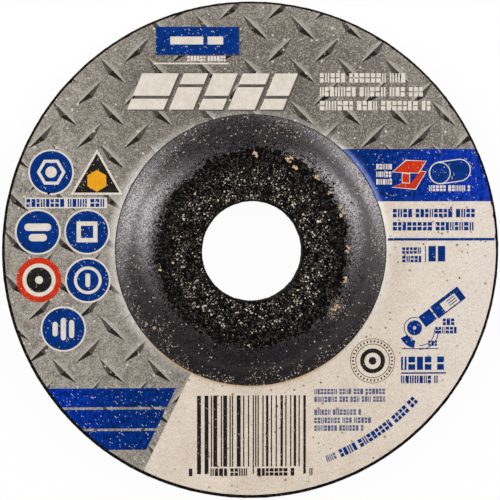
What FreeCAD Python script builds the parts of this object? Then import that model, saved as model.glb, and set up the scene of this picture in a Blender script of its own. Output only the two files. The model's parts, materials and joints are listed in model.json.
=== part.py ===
import FreeCAD, Part
import math
import os

# A depressed-centre grinding disc, lying on its grinding face with its back up.
# One moulded abrasive wheel is dished round its bore, and a paper label is glued on its flat back.
# The frame's origin is on the bore's axis at the grinding face, and +Z points out of the back.
# All sizes are in millimetres.

# Driving dimensions of the wheel

wheel_diameter = 115.0
wheel_thickness = 6.5
rim_chamfer = 0.3

# The pilot of the spindle flange that the bore goes over, and how loosely it does

arbor_diameter = 22.23
arbor_looseness = 0.2
bore_chamfer = 0.4

# The hub stands out of the back, and the same dish sinks into the grinding face

hub_rise = 4.6
hub_flat_diameter = 42.6
hub_base_diameter = 67.2
hub_shoulder_radius = 9.4
recess_corner_radius = 2.9

# The label stops short of the rim and laps a little way up the hub's slope

label_thickness = 0.15
label_margin = 0.7
label_lap = 2.2
label_shift_x = -0.1
label_shift_y = 0.15

# Sizes that follow from the driving ones

wheel_radius = wheel_diameter / 2
bore_radius = (arbor_diameter + arbor_looseness) / 2
hub_flat_radius = hub_flat_diameter / 2
hub_base_radius = hub_base_diameter / 2
hub_top = wheel_thickness + hub_rise
recess_floor = hub_top - wheel_thickness
label_outer_radius = wheel_radius - label_margin
label_inner_radius = hub_base_radius - label_lap

quarter_turn = math.pi / 2
slope_width = hub_base_radius - hub_flat_radius
slope_angle = 2 * math.atan2(hub_rise, slope_width)
radii_sum = slope_width / math.sin(slope_angle)


def at(radius, height):
    """A point of the half section, which lies in the XZ plane."""
    return FreeCAD.Vector(radius, 0, height)


def line(start, end):
    return Part.LineSegment(start, end).toShape()


def arc(centre, radius, start_angle, end_angle):
    """An arc of the half section; the angles are in radians from +X towards +Z."""
    middle_angle = (start_angle + end_angle) / 2
    angles = (start_angle, middle_angle, end_angle)
    points = [
        centre + at(radius * math.cos(angle), radius * math.sin(angle))
        for angle in angles
    ]
    return Part.Arc(*points).toShape()


def foot_arc(foot_height, corner_radius, lift=0):
    """The lower arc of a slope, or the line of a sheet's face that lies the lift above it."""
    foot_radius = radii_sum - corner_radius
    centre = at(hub_base_radius, foot_height + foot_radius)
    return arc(centre, foot_radius - lift, -quarter_turn - slope_angle, -quarter_turn)


def slope(foot_height, corner_radius):
    """Two tangent arcs from the flat middle of the dish down to the foot of its slope.

    The arc at the middle has the corner radius, and the arc at the foot takes up the rest.
    """
    centre = at(hub_flat_radius, foot_height + hub_rise - corner_radius)
    corner = arc(centre, corner_radius, quarter_turn, quarter_turn - slope_angle)
    return [corner, foot_arc(foot_height, corner_radius)]


def end_point(edge):
    return edge.valueAt(edge.LastParameter)


def start_point(edge):
    return edge.valueAt(edge.FirstParameter)


def joined(pieces):
    """A closed wire of the given edges, with a straight edge across each gap between them."""
    edges = []
    for piece, following in zip(pieces, pieces[1:] + pieces[:1]):
        edges.append(piece)
        gap_start = end_point(piece)
        gap_end = start_point(following)
        if gap_start.distanceToPoint(gap_end) > Part.Precision.confusion():
            edges.append(line(gap_start, gap_end))
    return Part.Wire(edges)


def backwards(edge):
    """The same arc drawn from its other end."""
    middle = edge.valueAt((edge.FirstParameter + edge.LastParameter) / 2)
    return Part.Arc(end_point(edge), middle, start_point(edge)).toShape()


def turned(wire):
    """The solid that a closed half section makes when it turns once round the bore's axis."""
    bore_axis = FreeCAD.Vector(0, 0, 1)
    return Part.Face(wire).revolve(at(0, 0), bore_axis, 360)


def abrasive_wheel():
    """The moulded wheel: its back and its grinding face follow the same dish."""
    bore_mouth_back = line(
        at(bore_radius, hub_top - bore_chamfer),
        at(bore_radius + bore_chamfer, hub_top),
    )
    rim_back = line(
        at(wheel_radius - rim_chamfer, wheel_thickness),
        at(wheel_radius, wheel_thickness - rim_chamfer),
    )
    rim_front = line(
        at(wheel_radius, rim_chamfer),
        at(wheel_radius - rim_chamfer, 0),
    )
    bore_mouth_front = line(
        at(bore_radius + bore_chamfer, recess_floor),
        at(bore_radius, recess_floor + bore_chamfer),
    )
    back_slope = slope(wheel_thickness, hub_shoulder_radius)
    front_slope = slope(0, recess_corner_radius)
    front_slope_inwards = [backwards(edge) for edge in reversed(front_slope)]
    section = [
        bore_mouth_back,
        *back_slope,
        rim_back,
        rim_front,
        *front_slope_inwards,
        bore_mouth_front,
    ]
    return turned(joined(section))


def label_sheet():
    """Paper of even thickness on the wheel's flat back and on the foot of the hub's slope."""
    glued_face = foot_arc(wheel_thickness, hub_shoulder_radius)
    printed_face = foot_arc(wheel_thickness, hub_shoulder_radius, label_thickness)
    outer_edge = line(
        at(wheel_radius, wheel_thickness),
        at(wheel_radius, wheel_thickness + label_thickness),
    )
    return turned(joined([glued_face, outer_edge, backwards(printed_face)]))


def paper_label():
    """The sheet cut to a ring, which was glued on a little off the wheel's centre."""
    base = FreeCAD.Vector(label_shift_x, label_shift_y, 0)
    cutter_height = hub_top + label_thickness
    blank = Part.makeCylinder(label_outer_radius, cutter_height, base)
    hole = Part.makeCylinder(label_inner_radius, cutter_height, base)
    return label_sheet().common(blank.cut(hole))


def main():
    os.makedirs("parts", exist_ok=True)
    nodes = {
        "abrasive_wheel": abrasive_wheel(),
        "paper_label": paper_label(),
    }
    for name, shape in nodes.items():
        shape.exportStep(f"parts/{name}.step")


main()
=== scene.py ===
import json
import math
import random

import bmesh
import bpy
from bpy.props import FloatProperty, FloatVectorProperty, IntProperty, PointerProperty
from mathutils import Euler, Matrix, Vector, noise


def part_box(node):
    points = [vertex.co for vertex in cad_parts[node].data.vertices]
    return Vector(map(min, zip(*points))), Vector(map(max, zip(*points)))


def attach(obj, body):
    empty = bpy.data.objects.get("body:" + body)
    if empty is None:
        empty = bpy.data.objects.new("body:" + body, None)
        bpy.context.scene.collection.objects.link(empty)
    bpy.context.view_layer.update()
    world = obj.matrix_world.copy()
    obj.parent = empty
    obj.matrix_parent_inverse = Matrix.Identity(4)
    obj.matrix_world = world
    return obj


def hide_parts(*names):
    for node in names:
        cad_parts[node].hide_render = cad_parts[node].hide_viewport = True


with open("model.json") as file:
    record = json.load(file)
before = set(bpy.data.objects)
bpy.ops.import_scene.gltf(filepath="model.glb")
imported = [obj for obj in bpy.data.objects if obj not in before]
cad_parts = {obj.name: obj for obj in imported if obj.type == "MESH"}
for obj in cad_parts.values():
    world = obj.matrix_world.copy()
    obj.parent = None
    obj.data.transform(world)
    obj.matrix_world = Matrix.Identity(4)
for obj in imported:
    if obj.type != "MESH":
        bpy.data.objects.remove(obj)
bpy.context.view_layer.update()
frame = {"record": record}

bl_info = {
    "name": "Depressed-centre grinding disc",
    "version": (1, 0, 0),
    "blender": (4, 5, 0),
    "location": "View3D > Sidebar > Grinding disc",
    "description": "Builds a grinding disc with a gritty hub, a printed paper label and a netted face",
    "category": "Object",
}

# Sizes from the frame, in metres

MM = 0.001
WHEEL_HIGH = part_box("abrasive_wheel")[1]
WHEEL_RADIUS = WHEEL_HIGH.x
HUB_TOP = WHEEL_HIGH.z
LABEL_LOW, LABEL_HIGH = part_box("paper_label")
LABEL_CENTRE = (LABEL_LOW + LABEL_HIGH) / 2
BACK = LABEL_LOW.z
HUB_RISE = HUB_TOP - BACK
BORE = next(m for m in frame["record"]["mounts"] if m["kind"] == "bore")
BORE_RADIUS = BORE["dims"]["r_mm"] * MM

FULL_TURN = 2 * math.pi
QUARTER_TURN = math.pi / 2
UP = Vector((0, 0, 1))

# Seeds of the random draws, so that each run gives the same disc

SEEDS = {
    "blue print": 6,
    "pale print": 7,
    "bars": 11,
    "small print": 12,
    "hub grit": 21,
    "specks": 22,
    "crumbs": 23,
    "rim grit": 24,
    "face grit": 25,
    "nicks": 31,
}


def srgb(red, green, blue):
    """A colour written in 0 to 255 as a screen shows it, as the linear numbers that a shader takes."""
    channels = []
    for value in (red, green, blue):
        value = value / 255
        linear = value / 12.92 if value <= 0.04045 else ((value + 0.055) / 1.055) ** 2.4
        channels.append(linear)
    return tuple(channels)


def offset(name, description, metres, **limits):
    """A property for a distance, which may be negative where no limit is given."""
    return FloatProperty(
        name=name, description=description, default=metres, subtype="DISTANCE", unit="LENGTH", **limits
    )


def length(name, description, millimetres):
    """A property for a size of the disc, with its default in millimetres."""
    return offset(name, description, millimetres * MM, min=0.0)


def angle(name, description, degrees):
    """A property for an angle, with its default in degrees."""
    return FloatProperty(
        name=name, description=description, default=math.radians(degrees), subtype="ANGLE"
    )


def tint(name, description, *channels):
    """A property for a colour, with its default in 0 to 255 as a screen shows it."""
    return FloatVectorProperty(
        name=name, description=description, default=srgb(*channels), size=3, min=0, max=1, subtype="COLOR"
    )


def count(name, description, default):
    return IntProperty(name=name, description=description, default=default, min=0)


class WheelSizes(bpy.types.PropertyGroup):
    """Sizes of the moulded wheel that its box doesn't give."""

    hub_flat_radius: length("Hub flat radius", "Where the rough flat of the hub ends", 21.3)
    hub_base_radius: length("Hub base radius", "Where the hub's slope meets the back", 33.6)
    shoulder_radius: length("Shoulder radius", "Rounding at the top of the slope", 9.4)
    recess_corner_radius: length("Recess corner radius", "Rounding at the recess's floor", 2.9)
    edge_round: length("Edge round", "Rounding of the rim's edges", 0.3)
    bore_round: length("Bore round", "Rounding of the bore's edges", 0.4)
    skin: length("Skin", "How far the rough surface lies below the grains' tops", 0.16)
    bore_skin: length("Bore skin", "How far the bore's wall lies outside its nominal size", 0.32)
    rim_skin: length("Rim skin", "How far the rim's surface lies inside its grains", 0.06)
    roughness_depth: length("Roughness depth", "Height of the moulded surface's waviness", 0.1)
    turns: count("Steps round", "Faces round the wheel", 480)


class LabelSizes(bpy.types.PropertyGroup):
    """Sizes of the paper label and of its print."""

    outer_radius: length("Outer radius", "Edge of the paper at the rim", 56.8)
    inner_radius: length("Inner radius", "Edge of the paper on the hub's slope", 31.4)
    shift_x: offset("Shift X", "Off centre to the right", LABEL_CENTRE.x)
    shift_y: offset("Shift Y", "Off centre to the top", LABEL_CENTRE.y)
    cut_shift: length("Cut shift", "How far the outer cut lies to the right of the hole", 0.1)
    thickness: length("Thickness", "Thickness of the paper", 0.15)
    ink: length("Ink", "Thickness of the printed shapes", 0.012)
    edge_wear: length("Edge wear", "How far the cut edge wanders", 0.06)
    turns: count("Steps round", "Faces round the label", 360)


class LabelColours(bpy.types.PropertyGroup):
    """Inks and paper of the label."""

    steel: tint("Steel grey", "Ground of the tread-plate field", 176, 168, 157)
    steel_dark: tint("Dark steel grey", "Its darker clouds", 112, 105, 97)
    lug_light: tint("Lug light side", "Lit facets of the lugs", 190, 182, 171)
    lug_middle: tint("Lug shaded side", "Upper dark facets of the lugs", 74, 69, 63)
    lug_dark: tint("Lug dark side", "Lower dark facets of the lugs", 30, 27, 25)
    cream: tint("Cream", "Unprinted paper", 236, 221, 204)
    blue: tint("Blue", "Band, stripes and discs", 1, 44, 108)
    blue_bright: tint("Bright blue", "Band and stripes towards the rim", 0, 53, 182)
    pale: tint("Pale", "Pale ink on the dark fields", 234, 226, 214)
    red: tint("Red", "Red shapes", 214, 58, 26)
    orange: tint("Orange", "Orange shape", 244, 172, 34)
    black: tint("Black", "Bars and dark shapes", 44, 40, 40)
    slate: tint("Slate", "Small print", 98, 106, 140)
    shade: tint("Shade", "Soft printed shadow", 84, 78, 72)
    rust: tint("Rust", "Brown specks on the paper", 128, 84, 46)


class AbrasiveColours(bpy.types.PropertyGroup):
    """Grit, resin and crumbs of the wheel."""

    grit: tint("Grit", "Black grains", 4, 3, 3)
    grit_brown: tint("Brown grit", "Grey-brown grains", 119, 110, 103)
    grit_pale: tint("Pale grit", "Pale grains", 232, 218, 198)
    resin: tint("Resin", "Smooth slope of the hub", 17, 13, 18)
    resin_cloud: tint("Resin clouds", "Lighter clouds in the resin", 31, 25, 31)
    crumb: tint("Crumb", "Golden crumbs of bond", 214, 184, 146)
    net: tint("Net", "Glass strands in the grinding face", 96, 92, 84)


class GritSettings(bpy.types.PropertyGroup):
    """How many grains lie where, and how large they are."""

    hub_grains: count("Hub grains", "Grains on the hub's flat", 6400)
    hub_specks: count("Hub specks", "Small pale grains on the hub's flat", 1900)
    fringe_grains: count("Fringe grains", "Small black grains that thin out on the hub's slope", 1900)
    slope_grains: count("Slope grains", "Specks on the hub's slope", 2900)
    rim_grains: count("Rim grains", "Grains on the rim", 3000)
    face_grains: count("Face grains", "Grains on the grinding face", 5200)
    smallest: length("Smallest grain", "Radius of the smallest grains", 0.13)
    largest: length("Largest grain", "Radius of the largest grains", 0.4)
    net_pitch: length("Net pitch", "From one strand of the net to the next", 4.6)
    strand_width: length("Strand width", "Width of a strand of the net", 0.9)


class StageSettings(bpy.types.PropertyGroup):
    """Camera, lamps and floor."""

    camera_distance: length("Camera distance", "From the camera to the disc", 600.0)
    camera_azimuth: angle("Camera azimuth", "Side on which the camera stands off the disc's axis", 141)
    camera_tilt: angle("Camera tilt", "How far the camera stands off the disc's axis", 3.8)
    rim_share: FloatProperty(
        name="Rim share",
        description="Radius of the rim in the picture, as a share of its width",
        default=0.49764,
    )
    lamp_watts: FloatProperty(name="Lamp power", description="Power of each lamp", default=6.5)
    lamp_width: length("Lamp width", "Width of each softbox", 400.0)
    lamp_height: length("Lamp height", "Height of each softbox", 850.0)
    lamp_distance: length("Lamp distance", "From each softbox to the disc", 900.0)
    world_light: FloatProperty(name="World light", description="Strength of the world", default=0.07)


def settings(group):
    return getattr(bpy.context.scene, group)


def around(radius, azimuth, height=0.0):
    """The point at a radius, an azimuth and a height round the bore's axis."""
    return Vector((radius * math.cos(azimuth), radius * math.sin(azimuth), height))


# The dish, as heights over the floor


def slope_arcs(sizes):
    """The angle that each arc of a slope turns through, and the sum of its two arcs' radii."""
    width = sizes.hub_base_radius - sizes.hub_flat_radius
    turn = 2 * math.atan2(HUB_RISE, width)
    return turn, width / math.sin(turn)


def dish_height(radius, foot, corner_radius):
    """Height of the wheel's back or grinding face at a radius, for a given height of its rim."""
    sizes = settings("disc_wheel")
    turn, radii_sum = slope_arcs(sizes)
    foot_radius = radii_sum - corner_radius
    turning_point = sizes.hub_flat_radius + corner_radius * math.sin(turn)
    if radius <= sizes.hub_flat_radius:
        return foot + HUB_RISE
    if radius >= sizes.hub_base_radius:
        return foot
    if radius < turning_point:
        reach = radius - sizes.hub_flat_radius
        return foot + HUB_RISE - corner_radius + math.sqrt(corner_radius**2 - reach**2)
    reach = sizes.hub_base_radius - radius
    return foot + foot_radius - math.sqrt(foot_radius**2 - reach**2)


def back_height(radius):
    return dish_height(radius, BACK, settings("disc_wheel").shoulder_radius)


def face_height(radius):
    return dish_height(radius, 0.0, settings("disc_wheel").recess_corner_radius)


def slope_normal(height_of, radius, azimuth):
    """The outward normal of the back or the grinding face at a radius and an azimuth."""
    step = 0.05 * MM
    rise = height_of(radius + step) - height_of(radius - step)
    up = 1 if height_of is back_height else -1
    return around(-up * rise / (2 * step), azimuth, up).normalized()


# The ragged edge of the hub's black grit. It laps onto the slope all round, and leans further out
# on one side. Its waves are given as their pitch and height

GRIT_LAP = 0.6 * MM
GRIT_LEAN = 2.1 * MM
GRIT_LEAN_POWER = 4
GRIT_SIDE = Vector((0.17, 0.985, 0))
GRIT_WAVES = ((4.0 * MM, 1.0 * MM), (0.9 * MM, 1.1 * MM))


def past_grit(spot):
    """How far a spot of the hub lies outside the ragged edge of its black grit."""
    lean = max(0.0, spot.dot(GRIT_SIDE) / spot.length) ** GRIT_LEAN_POWER
    ragged = sum(noise.noise(spot / pitch) * height for pitch, height in GRIT_WAVES)
    return spot.length + ragged - settings("disc_wheel").hub_flat_radius - GRIT_LAP - GRIT_LEAN * lean


# Meshes, and how many faces their curves and flats have

SHARPEST_SMOOTH_ANGLE = math.radians(50)
SECTORS = 20
MERGE_DISTANCE = 0.001 * MM
SLOPE_STEPS = 14
CORNER_STEPS = 6
ROUND_STEPS = 4
HUB_STEPS = 30
RIM_STEPS = 14
FACE_STEPS = 36
RECESS_STEPS = 16
BORE_STEPS = 8
BARE_STRIP = 0.6 * MM

# The waves of the moulded surface. They fade out at the top of the slope, below the label

FINE_PITCH = 0.9 * MM
COARSE_PITCH = 3.5 * MM
COARSE_SHARE = 0.5
FADE_WIDTH = 2.5 * MM
FACING_UP = 0.2


def linked(name, data):
    """An object in the scene that shows some data."""
    thing = bpy.data.objects.new(name, data)
    bpy.context.scene.collection.objects.link(thing)
    return thing


def finished_piece(name, mesh, materials, smooth=True):
    """Turns a bmesh into an object that rides on the disc, with its materials in order."""
    data = bpy.data.meshes.new(name)
    mesh.to_mesh(data)
    mesh.free()
    for material in materials:
        data.materials.append(material)
    for face in data.polygons:
        face.use_smooth = smooth
    if smooth:
        data.set_sharp_from_angle(angle=SHARPEST_SMOOTH_ANGLE)
    piece = linked(name, data)
    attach(piece, "root")
    return piece


def add_mesh(target, source):
    """Moves all of one bmesh into another."""
    data = bpy.data.meshes.new("added")
    source.to_mesh(data)
    source.free()
    target.from_mesh(data)
    bpy.data.meshes.remove(data)


def keep_in_rim(point):
    """Draws a point in to the wheel's radius where it lies outside it."""
    reach = point.co.xy.length
    if reach > WHEEL_RADIUS:
        point.co.xy *= WHEEL_RADIUS / reach


def face_up(mesh):
    for face in mesh.faces:
        if face.normal.z < 0:
            face.normal_flip()


def thickened(mesh, lower, upper):
    """Gives a flat sheet two sides that follow the back, each lifted by its own amount.

    Returns the faces of the upper side.
    """
    raised = bmesh.ops.extrude_face_region(mesh, geom=mesh.faces[:], use_keep_orig=True)["geom"]
    top = {v for v in raised if isinstance(v, bmesh.types.BMVert)}
    for point in mesh.verts:
        point.co.z = back_height(point.co.xy.length) + (upper if point in top else lower)
    bmesh.ops.recalc_face_normals(mesh, faces=mesh.faces[:])
    return {f for f in raised if isinstance(f, bmesh.types.BMFace)}


class Section:
    """A line in the XZ plane, drawn from its tip by straight runs and arcs, clockwise round a solid."""

    def __init__(self, radius, height):
        self.mesh = bmesh.new()
        self.start = (radius, height)
        self.tip = self.mesh.verts.new((radius, 0, height))

    def line(self, radius, height, steps=1):
        start = self.tip.co.copy()
        end = Vector((radius, 0, height))
        for step in range(1, steps + 1):
            drawn = bmesh.ops.extrude_vert_indiv(self.mesh, verts=[self.tip])
            self.tip = drawn["verts"][0]
            self.tip.co = start.lerp(end, step / steps)

    def arc(self, radius, height, turn, steps):
        """Turns the tip round a centre; a positive turn is clockwise seen with +X to the right."""
        drawn = bmesh.ops.spin(
            self.mesh,
            geom=[self.tip],
            cent=(radius, 0, height),
            axis=(0, 1, 0),
            angle=turn,
            steps=steps,
            use_duplicate=False,
        )
        self.tip = next(v for v in drawn["geom_last"] if isinstance(v, bmesh.types.BMVert))

    def close(self, steps=1):
        self.line(*self.start, steps)

    def turned(self, turns, centre=(0, 0, 0)):
        """The mesh that the line makes when it turns once round an upright axis.

        One sector is turned, and the others are copies of it, which is quicker than one long turn.
        """
        sector = FULL_TURN / SECTORS
        for turn, steps, copies in (
            (sector, turns // SECTORS, False),
            (FULL_TURN - sector, SECTORS - 1, True),
        ):
            bmesh.ops.spin(
                self.mesh,
                geom=self.mesh.verts[:] + self.mesh.edges[:] + self.mesh.faces[:],
                cent=centre,
                axis=UP,
                angle=turn,
                steps=steps,
                use_duplicate=copies,
            )
        bmesh.ops.remove_doubles(self.mesh, verts=self.mesh.verts[:], dist=MERGE_DISTANCE)
        bmesh.ops.recalc_face_normals(self.mesh, faces=self.mesh.faces[:])
        return self.mesh


def wheel_section():
    """The closed half section of the moulded wheel, with points close enough for its roughness."""
    sizes = settings("disc_wheel")
    skin = sizes.skin
    edge = sizes.edge_round
    mouth = sizes.bore_round
    flat = sizes.hub_flat_radius
    base = sizes.hub_base_radius
    turn, radii_sum = slope_arcs(sizes)
    shoulder = sizes.shoulder_radius
    corner = sizes.recess_corner_radius
    rim = WHEEL_RADIUS - sizes.rim_skin
    hub_top = HUB_TOP - skin
    wall = BORE_RADIUS + sizes.bore_skin
    section = Section(wall, hub_top - mouth)
    section.arc(wall + mouth, hub_top - mouth, QUARTER_TURN, ROUND_STEPS)
    section.line(flat, hub_top, HUB_STEPS)
    section.arc(flat, HUB_TOP - shoulder, turn, SLOPE_STEPS)
    section.arc(base, BACK + radii_sum - shoulder, -turn, SLOPE_STEPS)
    section.line(rim - edge - BARE_STRIP, BACK, 2)
    section.line(rim - edge, BACK, 2)
    section.arc(rim - edge, BACK - edge, QUARTER_TURN, ROUND_STEPS)
    section.line(rim, edge + skin, RIM_STEPS)
    section.arc(rim - edge, edge + skin, QUARTER_TURN, ROUND_STEPS)
    section.line(base, skin, FACE_STEPS)
    section.arc(base, radii_sum - corner + skin, turn, SLOPE_STEPS)
    section.arc(flat, HUB_RISE + skin - corner, -turn, CORNER_STEPS)
    section.line(wall + mouth, HUB_RISE + skin, RECESS_STEPS)
    section.arc(wall + mouth, HUB_RISE + skin + mouth, QUARTER_TURN, ROUND_STEPS)
    section.close(BORE_STEPS)
    return section


def roughen(mesh, depth):
    """Moves the wheel's points in and out by the grain of its surface, but not under the label."""
    flat = settings("disc_wheel").hub_flat_radius
    paper_edge = settings("disc_label").inner_radius
    mesh.normal_update()
    for point in mesh.verts:
        radius = point.co.xy.length
        strength = 1.0
        if point.normal.z > FACING_UP and radius > flat:
            strength = 0.0 if radius > paper_edge else max(0.0, 1.0 - (radius - flat) / FADE_WIDTH)
        fine = noise.noise(point.co / FINE_PITCH)
        coarse = noise.noise(point.co / COARSE_PITCH)
        point.co += point.normal * ((fine + COARSE_SHARE * coarse) * depth * strength)
        keep_in_rim(point)


# Grains

GRAINS_AT_ONCE = 160
JITTER = 0.22
SQUASH = ((0.7, 1.2), (0.6, 1.0), (0.5, 0.9))
BLACK_SHARE = 0.72
SHALLOWEST_SINK = 0.3
LEVEL_SINK = 0.9
BLACK_TONES = (0.0, 0.24)
BROWN_TONES = (0.34, 0.62)


class Grains:
    """Collects many small broken grains in one mesh, each with a tone from 0 to 1."""

    def __init__(self, seed):
        self.random = random.Random(SEEDS[seed])
        self.mesh = bmesh.new()
        self.mesh.faces.layers.float.new("tone")
        self.open_batch()

    def add(self, place, normal, radius, tone, sink):
        """Sets a grain on a surface: it sinks by a share of its radius and lies at random."""
        draw = self.random
        facing = normal.to_track_quat("Z", "Y").to_matrix().to_4x4()
        spin = Euler([draw.uniform(0, FULL_TURN) for _ in range(3)]).to_matrix().to_4x4()
        squash = Matrix.Diagonal((*(draw.uniform(*limits) for limits in SQUASH), 1))
        centre = place - normal * (radius * sink)
        matrix = Matrix.Translation(centre) @ facing @ spin @ squash
        made = bmesh.ops.create_icosphere(self.batch, subdivisions=1, radius=radius, matrix=matrix)
        for point in made["verts"]:
            way = Vector([draw.uniform(-1, 1) for _ in range(3)])
            point.co += way * radius * JITTER
            for face in point.link_faces:
                face[self.batch_tone] = tone
        self.in_batch += 1
        if self.in_batch >= GRAINS_AT_ONCE:
            add_mesh(self.mesh, self.batch)
            self.open_batch()

    def open_batch(self):
        """Grains are made a few at a time, which keeps each new one quick to make."""
        self.batch = bmesh.new()
        self.batch_tone = self.batch.faces.layers.float.new("tone")
        self.in_batch = 0

    def finished(self, name, material):
        """Presses flat whatever stands out of the wheel's own height and diameter."""
        add_mesh(self.mesh, self.batch)
        for point in self.mesh.verts:
            point.co.z = min(max(point.co.z, 0.0), HUB_TOP)
            keep_in_rim(point)
        bmesh.ops.recalc_face_normals(self.mesh, faces=self.mesh.faces[:])
        return finished_piece(name, self.mesh, [material], smooth=False)


def ring_place(draw, inner, outer):
    """A random radius and azimuth, even over the area of a ring."""
    radius = math.sqrt(draw.uniform(inner**2, outer**2))
    return radius, draw.uniform(0, FULL_TURN)


def grain_tone(draw):
    """Most grains are black, and some grey-brown."""
    return draw.uniform(*(BLACK_TONES if draw.random() < BLACK_SHARE else BROWN_TONES))


def grain_size(draw, power):
    """A radius between the smallest and the largest; a higher power gives more small ones."""
    grit = settings("disc_grit")
    return grit.smallest + (grit.largest - grit.smallest) * draw.random() ** power


def sink_below(room, size):
    """How deep a grain sinks, as a share of its radius, to keep its top in the room over it."""
    return max(SHALLOWEST_SINK, LEVEL_SINK - room / size)


# Shaders. A mix node's two inputs and its output are found by what it mixes

MIX_SOCKETS = {"FLOAT": (2, 3, 0), "RGBA": (6, 7, 2)}


class Value:
    """What a node's socket gives. Plain arithmetic on it adds the nodes that work it out."""

    def __init__(self, shader, socket):
        self.shader = shader
        self.socket = socket

    def __add__(self, other):
        return self.shader.math("ADD", self, other)

    def __sub__(self, other):
        return self.shader.math("SUBTRACT", self, other)

    def __rsub__(self, other):
        return self.shader.math("SUBTRACT", other, self)

    def __mul__(self, other):
        return self.shader.math("MULTIPLY", self, other)

    def __truediv__(self, other):
        return self.shader.math("DIVIDE", self, other)

    def __pow__(self, other):
        return self.shader.math("POWER", self, other)

    def __abs__(self):
        return self.shader.math("ABSOLUTE", self)


class Shader:
    """Builds one material's nodes, with short calls for what the materials here use."""

    def __init__(self, name):
        self.material = bpy.data.materials.new(name)
        self.material.use_nodes = True
        self.tree = self.material.node_tree
        self.tree.nodes.clear()
        self.output = self.node("OutputMaterial")
        self.surface = self.node("BsdfPrincipled")
        self.tree.links.new(self.surface.outputs["BSDF"], self.output.inputs["Surface"])

    def feed(self, socket, value):
        if isinstance(value, Value):
            self.tree.links.new(value.socket, socket)
        elif socket.type == "RGBA":
            socket.default_value = (*value, 1.0)
        else:
            socket.default_value = value

    def feed_named(self, node, inputs):
        """Feeds a node's inputs by their names, in which an underscore stands for a space."""
        for name, value in inputs.items():
            self.feed(node.inputs[name.replace("_", " ")], value)

    def node(self, kind, **inputs):
        node = self.tree.nodes.new("ShaderNode" + kind)
        self.feed_named(node, inputs)
        return node

    def set(self, **inputs):
        self.feed_named(self.surface, inputs)

    def value(self, node, output):
        return Value(self, node.outputs[output])

    def math(self, operation, *terms):
        node = self.node("Math")
        node.operation = operation
        for socket, term in zip(node.inputs, terms):
            self.feed(socket, term)
        return self.value(node, 0)

    def most(self, first, second):
        return self.math("MAXIMUM", first, second)

    def wrapped(self, value, pitch):
        """How far a value lies past the nearest of the points that repeat at a pitch."""
        return self.math("WRAP", value, pitch / 2, -pitch / 2)

    def spread(self, value, low, high, new_low=0.0, new_high=1.0):
        """Maps a range of a value smoothly to another, and holds it at the ends."""
        node = self.node(
            "MapRange", Value=value, From_Min=low, From_Max=high, To_Min=new_low, To_Max=new_high
        )
        node.interpolation_type = "SMOOTHSTEP"
        return self.value(node, "Result")

    def above(self, value, limit, soft=0.06):
        return self.spread(value - limit, -soft, soft)

    def below(self, value, limit, soft=0.06):
        return 1.0 - self.above(value, limit, soft)

    def between(self, value, low, high, soft=0.06):
        return self.above(value, low, soft) * self.below(value, high, soft)

    def mix(self, share, first, second, kind="RGBA"):
        """A colour, or a number, that goes from the first to the second by a share."""
        node = self.node("Mix")
        node.data_type = kind
        first_input, second_input, output = MIX_SOCKETS[kind]
        self.feed(node.inputs[0], share)
        self.feed(node.inputs[first_input], first)
        self.feed(node.inputs[second_input], second)
        return self.value(node, output)

    def place(self, centre=(0.0, 0.0)):
        """Places in millimetres from a centre, as a vector and as x, y and z."""
        source = self.node("TexCoord")
        scaled = self.node("VectorMath")
        scaled.operation = "MULTIPLY_ADD"
        self.tree.links.new(source.outputs["Object"], scaled.inputs[0])
        scaled.inputs[1].default_value = (1 / MM, 1 / MM, 1 / MM)
        scaled.inputs[2].default_value = (-centre[0] / MM, -centre[1] / MM, 0.0)
        place = self.value(scaled, 0)
        parts = self.node("SeparateXYZ", Vector=place)
        return place, *(self.value(parts, axis) for axis in range(3))

    def label_place(self):
        """The same from the label's own centre, which the print follows."""
        label = settings("disc_label")
        return self.place((label.shift_x, label.shift_y))

    def vector(self, x, y, z):
        return self.value(self.node("CombineXYZ", X=x, Y=y, Z=z), 0)

    def distance(self, x, y):
        """How far a point lies from the axis."""
        return self.math("SQRT", x * x + y * y)

    def clouds(self, place, scale, detail=2.0, roughness=0.5):
        node = self.node("TexNoise", Vector=place, Scale=scale, Detail=detail, Roughness=roughness)
        return self.value(node, "Fac")

    def specks(self, place, scale, size, share):
        """Scattered dots: 1 on a dot. A share of the cells has one, each with a size of its own."""
        cells = self.node("TexVoronoi", Vector=place, Scale=scale)
        draws = self.node("SeparateColor", Color=self.value(cells, "Color"))
        chance, size_draw = self.value(draws, 0), self.value(draws, 1)
        past_edge = self.value(cells, "Distance") - (size_draw * 0.7 + 0.3) * size
        return self.spread(past_edge, -0.06, 0.04, 1.0, 0.0) * self.math("LESS_THAN", chance, share)

    def attribute(self, name):
        node = self.node("Attribute")
        node.attribute_name = name
        return self.value(node, "Fac")

    def bump(self, height, strength, reach):
        node = self.node("Bump", Strength=strength, Distance=reach, Height=height)
        self.tree.links.new(node.outputs["Normal"], self.surface.inputs["Normal"])


# Tones of the wheel that no setting gives

# Painted shade in the hollows of the rough grit surface
PAINTED_PIT_SHADE = (0.002, 0.002, 0.002)
VEIN_BLACK = (0.003, 0.003, 0.003)
RESIN_VEIL = srgb(128, 116, 104)
RESIN_DUST = srgb(206, 194, 178)
# Painted shade and painted highlight of the golden crumbs
CRUMB_SHADE = srgb(150, 112, 70)
CRUMB_HIGHLIGHT = srgb(248, 232, 204)
STRAND_LIGHT = srgb(150, 144, 128)

# Where the slope's finish changes. Sizes are in millimetres, and a pair is a start and an end

GRIT_RAGGED = 5.0
GRIT_FADE = (1.0, 2.8)
DUSTY_RADII = (24.0, 31.0)
TRAIL_RADII = (31.2, 34.0)
TRAIL_SOFT = 1.2
TRAIL_WANDER = 5.0
TRAIL_X = (6.0, 20.0)


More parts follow.
